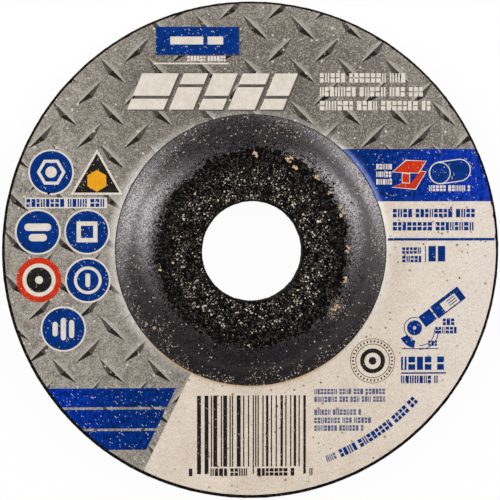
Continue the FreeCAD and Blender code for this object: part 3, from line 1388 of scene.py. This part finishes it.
def pale_shapes():
    """Pale heading blocks, the lines beside them, and the plain signs inside the discs."""
    pale = Print(layer=3)
    left, bottom, top = HEADING
    for start, end, slit in HEADING_BLOCKS:
        middle = bottom + (top - bottom) * slit
        lower = middle - HEADING_GAP / 2
        upper = middle + HEADING_GAP / 2
        shift = (upper - bottom) * HEADING_LEAN
        pale.slanted(left + start, left + end, bottom, lower, HEADING_LEAN)
        pale.slanted(left + start + shift, left + end + shift, upper, top, HEADING_LEAN)
    for sides in PALE_BARS:
        pale.slanted(*sides)
    draw = random.Random(SEEDS["pale print"])
    for line in PALE_LINES:
        pale.words(draw, *line)
    for disc, outer, inner, start, points in SIGN_RINGS:
        pale.ring(*BLUE_DISCS[disc], outer, inner, start, points=points)
    for disc, x, y, *bar in SIGN_BARS:
        pale.pill(BLUE_DISCS[disc][0] + x, BLUE_DISCS[disc][1] + y, *bar)
    pale.disc(*BLUE_DISCS[0], SIGN_SPOT_RADIUS, 32)
    pale.ring(PIPE[0] + PIPE_MOUTH_SHIFT[0], PIPE[1] + PIPE_MOUTH_SHIFT[1], *PIPE_MOUTH_RADII)
    pale.ring(*RED_DISC, RED_RADII[1], RED_DARK_RADIUS)
    pale.disc(*RED_DISC, RED_SPOT_RADIUS, 24)
    return pale


def shade_shapes():
    """The soft printed shadows behind the pale heading and the blue panel."""
    shade = Print(layer=1)
    left, bottom, top = HEADING
    right_shift, up_shift = HEADING_SHADOW
    left += right_shift
    for start, end, _ in HEADING_BLOCKS:
        shade.slanted(left + start, left + end, bottom + up_shift, top + up_shift, HEADING_LEAN)
    shade.slanted(*PANEL_SHADOW)
    return shade


def dark_shapes():
    """Bars of the bar field, the dark of the triangle and of the red ring, and the emblem."""
    dark = Print(layer=2)
    draw = random.Random(SEEDS["bars"])
    bar_field(dark, draw)
    for line in BAR_LINES:
        dark.words(draw, *line)
    dark.polygon(shrunk(TRIANGLE, TRIANGLE_DARK))
    dark.disc(*RED_DISC, RED_DARK_RADIUS)
    dark.disc(*BLACK_SPOT, 9)
    emblem(dark)
    return dark


def bar_field(dark, draw):
    """Bars of random widths, with random gaps between them."""
    left, right, bottom, top = BAR_FIELD
    place = left
    index = 0
    while place < right - LAST_BAR_ROOM:
        wide = draw.choice(BAR_WIDTHS)
        at_end = index < LONG_BARS_LEFT or place > right - LONG_BARS_RIGHT
        in_middle = abs(place - (left + right) / 2) < LONG_BARS_MIDDLE
        drop = LONG_BAR_DROP if at_end or in_middle else 0.0
        dark.slanted(place, min(place + wide, right), bottom - drop, top)
        place += wide + draw.choice(BAR_GAPS)
        index += 1


def emblem(dark):
    """Plain rings with a spot in their middle, and small blocks between the two outer ones."""
    x, y = EMBLEM
    for outer, inner, points in EMBLEM_RINGS:
        dark.ring(x, y, outer, inner, points=points)
    for index in range(EMBLEM_BLOCKS):
        angle = 360 * index / EMBLEM_BLOCKS
        out = around(EMBLEM_BLOCK_RADIUS, math.radians(angle))
        dark.bar(x + out.x, y + out.y, *EMBLEM_BLOCK, angle)
    dark.disc(x, y, EMBLEM_SPOT_RADIUS, 32)


def slate_shapes():
    """Lines of small print."""
    slate = Print(layer=1)
    draw = random.Random(SEEDS["small print"])
    for line in SMALL_LINES:
        slate.words(draw, *line)
    slate.words_on_arc(draw, *SMALL_ARC_LINE)
    return slate


def red_shapes():
    """The red ring and the steel beam in the blue band."""
    red = Print(layer=2)
    red.ring(*RED_DISC, *RED_RADII)
    for corners in BEAM:
        red.polygon(corners)
    return red


def orange_shapes():
    """An orange hexagon in the triangle."""
    orange = Print(layer=3)
    middle = middle_of(TRIANGLE)
    orange.disc(middle.x, middle.y - HEXAGON_DROP, HEXAGON_RADIUS, 6)
    return orange


def outline_shapes():
    """Pale grounds that show as thin outlines round the beam and the pipe."""
    pale = Print(layer=1)
    pale.pill(*PIPE, PIPE_LONG, PIPE_WIDE, PIPE_TURN, PIPE_END_STEPS)
    for corners in BEAM:
        pale.polygon(grown(corners, BEAM_OUTLINE))
    return pale


def outline_filling():
    """The blue inside of the pipe."""
    blue = Print(layer=2)
    inset = 2 * PIPE_OUTLINE
    blue.pill(*PIPE, PIPE_LONG - inset, PIPE_WIDE - inset, PIPE_TURN, PIPE_END_STEPS)
    return blue


# Operators


class DiscOperator:
    """What the operators share."""

    bl_options = {"REGISTER", "UNDO"}

    def execute(self, context):
        self.build()
        return {"FINISHED"}


class DISC_OT_wheel(DiscOperator, bpy.types.Operator):
    """Turn the moulded wheel's section and roughen it"""

    bl_idname = "disc.wheel"
    bl_label = "Moulded wheel"

    def build(self):
        sizes = settings("disc_wheel")
        mesh = wheel_section().turned(sizes.turns)
        for face in mesh.faces:
            spot = face.calc_center_median() * Vector((1, 1, 0))
            on_slope = sizes.hub_flat_radius < spot.length < sizes.hub_base_radius
            smooth = on_slope and face.normal.z > FACING_UP and past_grit(spot) > 0
            face.material_index = 1 if smooth else 0
        roughen(mesh, sizes.roughness_depth)
        materials = [grit_material(), resin_material()]
        piece = finished_piece("moulded_wheel", mesh, materials)
        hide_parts("abrasive_wheel")


# How the grains thin out past the hub's flat

HUB_GRIT_REACH = 5.0 * MM
THINNING_WIDTH = 3.0 * MM
THINNING_POWER = 0.9
BLACK_ONLY_FROM = -0.3
FRINGE_WIDTH = 1.1 * MM
FRINGE_END = 1.25
FRINGE_SIZES = (0.6, 1.4)
FRINGE_TONES = (0.0, 0.2)
FRINGE_SINK = 0.4

# How the sizes of grains are drawn: a higher power gives more small ones

FLAT_POWER = 2.2
RIM_POWER = 1.6


def on_back(radius, azimuth, lift=0.0):
    """A spot at a height over the wheel's back, and the back's normal there."""
    spot = around(radius, azimuth, back_height(radius) + lift)
    return spot, slope_normal(back_height, radius, azimuth)


class DISC_OT_hub_grit(DiscOperator, bpy.types.Operator):
    """Scatter grains over the hub's rough flat, and let them thin out on its slope"""

    bl_idname = "disc.hub_grit"
    bl_label = "Hub grit"

    def build(self):
        sizes = settings("disc_wheel")
        grit = settings("disc_grit")
        flat = sizes.hub_flat_radius
        grains = Grains("hub grit")
        draw = grains.random
        for _ in range(grit.hub_grains):
            radius, azimuth = ring_place(draw, BORE_RADIUS + 2 * sizes.bore_round, flat + HUB_GRIT_REACH)
            past = past_grit(around(radius, azimuth)) / THINNING_WIDTH
            if draw.random() < max(0.0, past) ** THINNING_POWER:
                continue
            size = grain_size(draw, FLAT_POWER)
            spot, normal = on_back(radius, azimuth, -sizes.skin)
            tone = grain_tone(draw) if past < BLACK_ONLY_FROM else draw.uniform(*BLACK_TONES)
            grains.add(spot, normal, size, tone, sink_below(HUB_TOP - spot.z, size))
        for _ in range(grit.fringe_grains):
            azimuth = draw.uniform(0, FULL_TURN)
            edge = flat - past_grit(around(flat, azimuth))
            radius = min(edge + draw.expovariate(1 / FRINGE_WIDTH), FRINGE_END * flat)
            size = grit.smallest * draw.uniform(*FRINGE_SIZES)
            grains.add(*on_back(radius, azimuth), size, draw.uniform(*FRINGE_TONES), FRINGE_SINK)
        grains.finished("hub_grit", grain_material())


# Where pale specks crowd: the pitches of the clouds that they follow, and how they thin out

FLAT_SPECK_PITCH = 2.2 * MM
SLOPE_SPECK_PITCH = 3.5 * MM
SPECK_EDGE_WIDTH = 1.5 * MM
SPECK_DEPTH = 0.1 * MM
OUTWARD_POWER = 0.28
PAPER_GAP = 0.3 * MM
FLAT_SPECK_TONES = (0.64, 1.1)
FLAT_SPECK_SINK = 0.1
SLOPE_SPECK_TONES = (0.66, 1.0)
SLOPE_SPECK_SINK = 0.2
DUST_SIZES = (0.4, 1.1)
DUST_TONES = (0.68, 0.86)

# Patches of tan dust on the hub: x, y and reach in millimetres, and how many specks

DUST_PATCHES = (
    (19.7, -12.4, 1.0, 190), (18.3, -14.4, 0.8, 90), (-14.9, -9.7, 0.7, 45), (23.1, 6.7, 1.1, 50),
    (-20.2, -16.8, 0.5, 24), (-21.1, -18.4, 0.6, 20), (-22.6, -15.8, 0.4, 18), (21.6, -7, 0.5, 30),
)


def strewn(draw, x, y, spread):
    """The radius and azimuth of a random spot about a place, which is given in millimetres."""
    spot = Vector((draw.gauss(x, spread), draw.gauss(y, spread))) * MM
    return spot.length, math.atan2(spot.y, spot.x)


class DISC_OT_specks(DiscOperator, bpy.types.Operator):
    """Scatter small pale specks over the hub's flat and its smooth slope"""

    bl_idname = "disc.specks"
    bl_label = "Pale specks"

    def build(self):
        grains = Grains("specks")
        self.on_flat(grains)
        self.on_slope(grains)
        self.in_patches(grains)
        grains.finished("pale_specks", grain_material("pale_specks"))

    def on_flat(self, grains):
        """Small pale grains in the black grit, in clouds that end at the grit's edge."""
        sizes = settings("disc_wheel")
        grit = settings("disc_grit")
        draw = grains.random
        made = 0
        while made < grit.hub_specks:
            radius, azimuth = ring_place(
                draw, BORE_RADIUS + 2 * sizes.bore_round, sizes.hub_flat_radius + MM
            )
            spot = around(radius, azimuth, back_height(radius) - SPECK_DEPTH)
            clouds = 0.5 + 1.2 * noise.noise(spot / FLAT_SPECK_PITCH)
            if draw.random() > min(clouds, -past_grit(spot) / SPECK_EDGE_WIDTH):
                continue
            size = grit.smallest * (0.6 + 2.0 * draw.random() ** 5)
            grains.add(spot, UP, size, draw.uniform(*FLAT_SPECK_TONES), FLAT_SPECK_SINK)
            made += 1

    def on_slope(self, grains):
        """Pale specks on the smooth slope, more of them towards the label."""
        grit = settings("disc_grit")
        draw = grains.random
        flat = settings("disc_wheel").hub_flat_radius
        width = settings("disc_label").inner_radius - PAPER_GAP - flat
        for _ in range(grit.slope_grains):
            radius = flat + width * draw.random() ** OUTWARD_POWER
            spot, normal = on_back(radius, draw.uniform(0, FULL_TURN))
            if draw.random() > 0.45 + 1.6 * noise.noise(spot / SLOPE_SPECK_PITCH):
                continue
            size = grit.smallest * (0.5 + 1.3 * draw.random() ** 3)
            grains.add(spot, normal, size, draw.uniform(*SLOPE_SPECK_TONES), SLOPE_SPECK_SINK)

    def in_patches(self, grains):
        """The patches of tan dust."""
        smallest = settings("disc_grit").smallest
        draw = grains.random
        for x, y, spread, specks in DUST_PATCHES:
            for _ in range(specks):
                spot, normal = on_back(*strewn(draw, x, y, spread))
                spot.z = min(spot.z, HUB_TOP - SPECK_DEPTH)
                size = smallest * draw.uniform(*DUST_SIZES)
                grains.add(spot, normal, size, draw.uniform(*DUST_TONES), SLOPE_SPECK_SINK)


# Golden crumbs on the hub: x, y and size, in millimetres. Each is a heap of grains

CRUMBS = (
    (0.5, 22.5, 0.55), (1, 21.9, 0.4), (8.2, 21.2, 0.6), (8.9, 21.6, 0.5), (8.7, 20.6, 0.3),
    (9.6, 19.2, 0.65), (10.1, 18.4, 0.4), (10.6, 17.8, 0.35), (14.9, 16.9, 0.55), (17.7, 13.6, 0.45),
    (20.2, 10.1, 0.5), (20.9, 8.8, 0.4), (20.3, 8.3, 0.5), (22.3, 0.7, 0.5), (21.9, 0, 0.55),
    (21.6, -6.2, 0.6), (21.3, -6.9, 0.4), (19.5, -12.7, 0.7), (18.9, -13.5, 0.5), (18.3, -13.2, 0.35),
    (-15.7, 13.7, 0.5), (-15, 13.9, 0.4), (-21.1, -4.1, 0.45), (-15.1, -9.7, 0.5), (-10.9, -10.6, 0.45),
    (5.1, -17.6, 0.45), (-0.9, -21.5, 0.35), (-24.3, -16.8, 0.35), (-22.5, -17.8, 0.45), (26.1, 15, 0.3),
)
CRUMB_GRAINS = 12
CRUMB_SPREAD = 0.42
CRUMB_GRAIN_SIZES = (0.3, 0.6)
CRUMB_TONE = 1.0


class DISC_OT_crumbs(DiscOperator, bpy.types.Operator):
    """Lay golden crumbs of bond on the hub"""

    bl_idname = "disc.crumbs"
    bl_label = "Golden crumbs"

    def build(self):
        sizes = settings("disc_wheel")
        grains = Grains("crumbs")
        draw = grains.random
        for x, y, size in CRUMBS:
            for _ in range(CRUMB_GRAINS):
                radius, azimuth = strewn(draw, x, y, CRUMB_SPREAD * size)
                lowered = sizes.skin * 2 if radius < sizes.hub_flat_radius else 0.0
                grain = size * MM * draw.uniform(*CRUMB_GRAIN_SIZES)
                grains.add(*on_back(radius, azimuth, -lowered), grain, CRUMB_TONE, SHALLOWEST_SINK)
        grains.finished("golden_crumbs", crumb_material())


class DISC_OT_rim_grit(DiscOperator, bpy.types.Operator):
    """Scatter grains over the rim"""

    bl_idname = "disc.rim_grit"
    bl_label = "Rim grit"

    def build(self):
        skin = settings("disc_wheel").rim_skin
        grains = Grains("rim grit")
        draw = grains.random
        for _ in range(settings("disc_grit").rim_grains):
            azimuth = draw.uniform(0, FULL_TURN)
            size = grain_size(draw, RIM_POWER)
            spot = around(WHEEL_RADIUS - skin, azimuth, draw.uniform(size, BACK - size))
            grains.add(spot, around(1.0, azimuth), size, grain_tone(draw), sink_below(skin, size))
        grains.finished("rim_grit", grain_material("rim_grains"))


# How far the grinding face's grains keep from the bore and from the rim

FACE_MARGIN = 0.8 * MM


class DISC_OT_face_grit(DiscOperator, bpy.types.Operator):
    """Scatter grains over the grinding face and its recess"""

    bl_idname = "disc.face_grit"
    bl_label = "Face grit"

    def build(self):
        skin = settings("disc_wheel").skin
        grains = Grains("face grit")
        draw = grains.random
        for _ in range(settings("disc_grit").face_grains):
            radius, azimuth = ring_place(draw, BORE_RADIUS + FACE_MARGIN, WHEEL_RADIUS - FACE_MARGIN)
            normal = slope_normal(face_height, radius, azimuth)
            spot = around(radius, azimuth, face_height(radius) + skin)
            size = grain_size(draw, FLAT_POWER)
            grains.add(spot, normal, size, grain_tone(draw), sink_below(skin, size))
        grains.finished("face_grit", grain_material("face_grains"))


# The glass net. A strand's section has four corners. Each has its place across the strand, as a share
# of the half width, its height over the surface, and how much of the weave it follows

NET_MARGIN = 1.0 * MM
STRAND_STEP = 0.75 * MM
STRAND_CORNERS = ((-1.0, 0.11 * MM, 0), (-0.6, -0.06 * MM, 1), (0.6, -0.06 * MM, 1), (1.0, 0.11 * MM, 0))
WEAVE_HEIGHT = 0.035 * MM
WANDER_PITCH = 6 * MM
WANDER_WIDTH = 0.2 * MM


class DISC_OT_net(DiscOperator, bpy.types.Operator):
    """Weave the glass net that shows in the grinding face"""

    bl_idname = "disc.net"
    bl_label = "Glass net"

    def build(self):
        pitch = settings("disc_grit").net_pitch
        net = bmesh.new()
        reach = WHEEL_RADIUS - NET_MARGIN
        lines = math.floor(reach / pitch)
        for along_x in (True, False):
            for index in range(-lines, lines + 1):
                for start, end in self.runs(index * pitch, reach):
                    self.strand(net, along_x, index, start, end)
        bmesh.ops.recalc_face_normals(net, faces=net.faces[:])
        finished_piece("glass_net", net, [net_material()])

    def runs(self, offset, reach):
        """Where the strand at an offset from the middle starts and ends, in two runs beside the bore."""
        half = math.sqrt(max(reach**2 - offset**2, 0.0))
        clear = BORE_RADIUS + NET_MARGIN
        if abs(offset) >= clear:
            return [(-half, half)]
        gap = math.sqrt(clear**2 - offset**2)
        return [(-half, -gap), (gap, half)]

    def strand(self, net, along_x, index, start, end):
        """A closed flat band, rolled from a grid, which weaves over and under those that it crosses."""
        sides = len(STRAND_CORNERS)
        mesh = bmesh.new()
        steps = math.ceil((end - start) / STRAND_STEP)
        bmesh.ops.create_grid(mesh, x_segments=steps, y_segments=sides, size=1)
        for point in mesh.verts:
            along = start + (end - start) * (point.co.x + 1) / 2
            side = round((point.co.y + 1) / 2 * sides) % sides
            point.co = self.strand_point(along_x, index, along, side)
        bmesh.ops.remove_doubles(mesh, verts=mesh.verts[:], dist=MERGE_DISTANCE)
        bmesh.ops.holes_fill(mesh, edges=[e for e in mesh.edges if e.is_boundary])
        add_mesh(net, mesh)

    def strand_point(self, along_x, index, along, side):
        """A corner of a strand's section, wide where it is pressed in and narrow where it shows."""
        grit = settings("disc_grit")
        offset = index * grit.net_pitch
        share, lift, follows = STRAND_CORNERS[side]
        phase = math.pi * (along / grit.net_pitch + index)
        weave = math.cos(phase) * (1 if along_x else -1) * WEAVE_HEIGHT
        level = face_height(math.hypot(along, offset)) + settings("disc_wheel").skin
        height = level + lift + weave * follows
        drift = noise.noise(Vector((along, offset, 3.0 if along_x else 7.0)) / WANDER_PITCH)
        across = offset + share * grit.strand_width / 2 + drift * WANDER_WIDTH
        return (along, across, height) if along_x else (across, along, height)


# The label: faces across its lap and its flat, and how its cut edges wander and are nicked

LAP_STEPS = 8
FLAT_STEPS = 12
EDGE_PITCH = 1.8 * MM
NICKS = 14
NICK_DEPTH = 3


class DISC_OT_label(DiscOperator, bpy.types.Operator):
    """Lay the paper ring on the wheel's back and up the foot of the hub's slope"""

    bl_idname = "disc.label"
    bl_label = "Paper label"

    def build(self):
        sizes = settings("disc_label")
        centre = Vector((sizes.shift_x, sizes.shift_y, 0))
        sheet = Section(sizes.inner_radius + sizes.shift_x, 0)
        sheet.line(settings("disc_wheel").hub_base_radius + sizes.shift_x, 0, LAP_STEPS)
        sheet.line(sizes.outer_radius + sizes.shift_x, 0, FLAT_STEPS)
        for point in sheet.mesh.verts:
            point.co.y = sizes.shift_y
        mesh = sheet.turned(sizes.turns, centre)
        self.wear_edges(mesh, centre)
        face_up(mesh)
        printed = thickened(mesh, 0.0, sizes.thickness)
        for face in mesh.faces:
            face.material_index = 0 if face in printed else 1
        materials = [label_material(), paper_edge_material()]
        piece = finished_piece("paper_ring", mesh, materials)
        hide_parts("paper_label")

    def wear_edges(self, mesh, centre):
        """Lets the two cut edges wander a little, with a few nicks in the outer one."""
        sizes = settings("disc_label")
        draw = random.Random(SEEDS["nicks"])
        nicked = {draw.randrange(sizes.turns) for _ in range(NICKS)}
        edge_points = [v for v in mesh.verts if v.is_boundary]
        for index, point in enumerate(edge_points):
            way = point.co - centre
            outer = way.length > settings("disc_wheel").hub_base_radius
            drift = noise.noise(point.co / EDGE_PITCH) * sizes.edge_wear
            if outer and index in nicked:
                drift -= NICK_DEPTH * sizes.edge_wear
            point.co += way.normalized() * drift
            if outer:
                point.co.x += sizes.cut_shift


# The clouds of the inks, and the flecks of those that wear to a tone of their own

PALE_CLOUDS = srgb(222, 212, 198)
PALE_FLECKS = srgb(160, 142, 120)
BLUE_CLOUDS = srgb(4, 54, 138)
BLACK_CLOUDS = srgb(30, 26, 26)
SLATE_CLOUDS = srgb(84, 92, 130)
RED_CLOUDS = srgb(198, 46, 20)
ORANGE_CLOUDS = srgb(232, 156, 26)
SHADE_CLOUDS = srgb(104, 97, 90)
SHADE_FLECKS = srgb(150, 142, 132)


class DISC_OT_print(DiscOperator, bpy.types.Operator):
    """Print the plain shapes on the label, one piece for each ink and layer"""

    bl_idname = "disc.print"
    bl_label = "Printed shapes"

    def build(self):
        colours = settings("disc_label_colours")
        pale = ink_material("pale_ink", colours.pale, PALE_CLOUDS, PALE_FLECKS, 0.5)
        blue = ink_material("blue_ink", colours.blue, BLUE_CLOUDS, colours.pale, 0.85)
        dark = ink_material("black_ink", colours.black, BLACK_CLOUDS, colours.cream, 0.6)
        slate = ink_material("slate_ink", colours.slate, SLATE_CLOUDS, colours.cream, 0.4)
        red = ink_material("red_ink", colours.red, RED_CLOUDS, colours.pale, 0.6)
        orange = ink_material("orange_ink", colours.orange, ORANGE_CLOUDS, colours.pale, 0.4)
        shade = ink_material("shade_ink", colours.shade, SHADE_CLOUDS, SHADE_FLECKS, 0.5)
        shade_shapes().finished("print_shadows", shade)
        pale_grounds().finished("print_pale_grounds", pale)
        outline_shapes().finished("print_outlines", pale)
        outline_filling().finished("print_outline_filling", blue)
        slate_shapes().finished("print_small_lines", slate)
        blue_shapes().finished("print_blue", blue)
        red_shapes().finished("print_red", red)
        dark_shapes().finished("print_dark", dark)
        orange_shapes().finished("print_orange", orange)
        pale_shapes().finished("print_pale", pale)


# The stage. The lamps have their azimuth and elevation in degrees, and the picture's shift is a share
# of its width

RIGHT_LAMP = (26, 41)
LEFT_LAMP = (161, 37)
PICTURE_SHIFT = (-0.00274, 0.00166)
SENSOR_WIDTH = 36.0
CLIP_START = 0.01
CLIP_END = 20.0
FLOOR_REACH = 3.0
FLOOR_GAP = 0.05 * MM
FLOOR_TONE = (0.92, 0.92, 0.92)
FLOOR_WHITENESS = 0.96


class DISC_OT_stage(DiscOperator, bpy.types.Operator):
    """Set the floor, the lamps, the world and the camera"""

    bl_idname = "disc.stage"
    bl_label = "Stage"

    def build(self):
        self.floor()
        self.world()
        self.lamp("lamp_right", *RIGHT_LAMP)
        self.lamp("lamp_left", *LEFT_LAMP)
        self.camera()
        bpy.context.scene.view_settings.view_transform = "Standard"

    def floor(self):
        mesh = bmesh.new()
        bmesh.ops.create_grid(mesh, x_segments=4, y_segments=4, size=FLOOR_REACH)
        data = bpy.data.meshes.new("floor")
        mesh.to_mesh(data)
        mesh.free()
        data.materials.append(self.floor_material())
        floor = linked("floor", data)
        floor.location.z = -FLOOR_GAP

    def floor_material(self):
        """A pale floor that keeps shadows, and shows nearly white to the camera and in reflections."""
        shader = Shader("pale_floor")
        shader.set(Base_Color=FLOOR_TONE, Roughness=0.9)
        path = shader.node("LightPath")
        seen = 0.0
        for ray in ("Is Camera Ray", "Is Glossy Ray", "Is Transmission Ray"):
            seen = shader.most(seen, shader.value(path, ray))
        white = shader.node("Emission", Strength=1.0)
        mixed = shader.node("MixShader", Fac=seen * FLOOR_WHITENESS)
        shader.tree.links.new(shader.surface.outputs[0], mixed.inputs[1])
        shader.tree.links.new(white.outputs[0], mixed.inputs[2])
        shader.tree.links.new(mixed.outputs[0], shader.output.inputs["Surface"])
        return shader.material

    def world(self):
        world = bpy.data.worlds.new("studio")
        bpy.context.scene.world = world
        world.use_nodes = True
        background = world.node_tree.nodes["Background"]
        background.inputs["Color"].default_value = (1, 1, 1, 1)
        background.inputs["Strength"].default_value = settings("disc_stage").world_light

    def lamp(self, name, azimuth, elevation):
        """A tall softbox that faces the disc from an azimuth and an elevation."""
        stage = settings("disc_stage")
        data = bpy.data.lights.new(name, "AREA")
        data.shape = "RECTANGLE"
        data.size = stage.lamp_width
        data.size_y = stage.lamp_height
        data.energy = stage.lamp_watts
        up = math.radians(elevation)
        way = around(math.cos(up), math.radians(azimuth), math.sin(up))
        lamp = linked(name, data)
        lamp.location = way * stage.lamp_distance
        lamp.rotation_euler = way.to_track_quat("Z", "Y").to_euler()

    def camera(self):
        """Looks down almost straight, with the rim at its share of the picture and the print upright."""
        stage = settings("disc_stage")
        data = bpy.data.cameras.new("camera")
        data.sensor_width = SENSOR_WIDTH
        data.lens = SENSOR_WIDTH * stage.rim_share * stage.camera_distance / WHEEL_RADIUS
        data.clip_start = CLIP_START
        data.clip_end = CLIP_END
        data.shift_x, data.shift_y = PICTURE_SHIFT
        away = around(math.sin(stage.camera_tilt), stage.camera_azimuth, math.cos(stage.camera_tilt))
        right = Vector((0, 1, 0)).cross(away).normalized()
        camera = linked("camera", data)
        camera.location = UP * BACK + away * stage.camera_distance
        camera.rotation_euler = Matrix((right, away.cross(right), away)).transposed().to_euler()
        bpy.context.scene.camera = camera


OPERATORS = (
    DISC_OT_wheel,
    DISC_OT_hub_grit,
    DISC_OT_specks,
    DISC_OT_crumbs,
    DISC_OT_rim_grit,
    DISC_OT_face_grit,
    DISC_OT_net,
    DISC_OT_label,
    DISC_OT_print,
    DISC_OT_stage,
)

GROUPS = {
    "disc_wheel": WheelSizes,
    "disc_label": LabelSizes,
    "disc_label_colours": LabelColours,
    "disc_grit_colours": AbrasiveColours,
    "disc_grit": GritSettings,
    "disc_stage": StageSettings,
}


class DISC_PT_panel(bpy.types.Panel):
    """Sizes, colours and build steps of the grinding disc"""

    bl_label = "Grinding disc"
    bl_idname = "DISC_PT_panel"
    bl_space_type = "VIEW_3D"
    bl_region_type = "UI"
    bl_category = "Grinding disc"

    def draw(self, context):
        for operator in OPERATORS:
            self.layout.operator(operator.bl_idname)
        for name, group in GROUPS.items():
            box = self.layout.box()
            box.label(text=group.__doc__)
            for entry in group.__annotations__:
                box.prop(getattr(context.scene, name), entry)


def register():
    for group in GROUPS.values():
        bpy.utils.register_class(group)
    for operator in OPERATORS:
        bpy.utils.register_class(operator)
    bpy.utils.register_class(DISC_PT_panel)
    for name, group in GROUPS.items():
        setattr(bpy.types.Scene, name, PointerProperty(type=group))


def unregister():
    for name in GROUPS:
        delattr(bpy.types.Scene, name)
    bpy.utils.unregister_class(DISC_PT_panel)
    for operator in reversed(OPERATORS):
        bpy.utils.unregister_class(operator)
    for group in reversed(GROUPS.values()):
        bpy.utils.unregister_class(group)


def main():
    register()
    bpy.ops.disc.wheel()
    bpy.ops.disc.hub_grit()
    bpy.ops.disc.specks()
    bpy.ops.disc.crumbs()
    bpy.ops.disc.rim_grit()
    bpy.ops.disc.face_grit()
    bpy.ops.disc.net()
    bpy.ops.disc.label()
    bpy.ops.disc.print()
    bpy.ops.disc.stage()


if __name__ == "__main__":
    main()
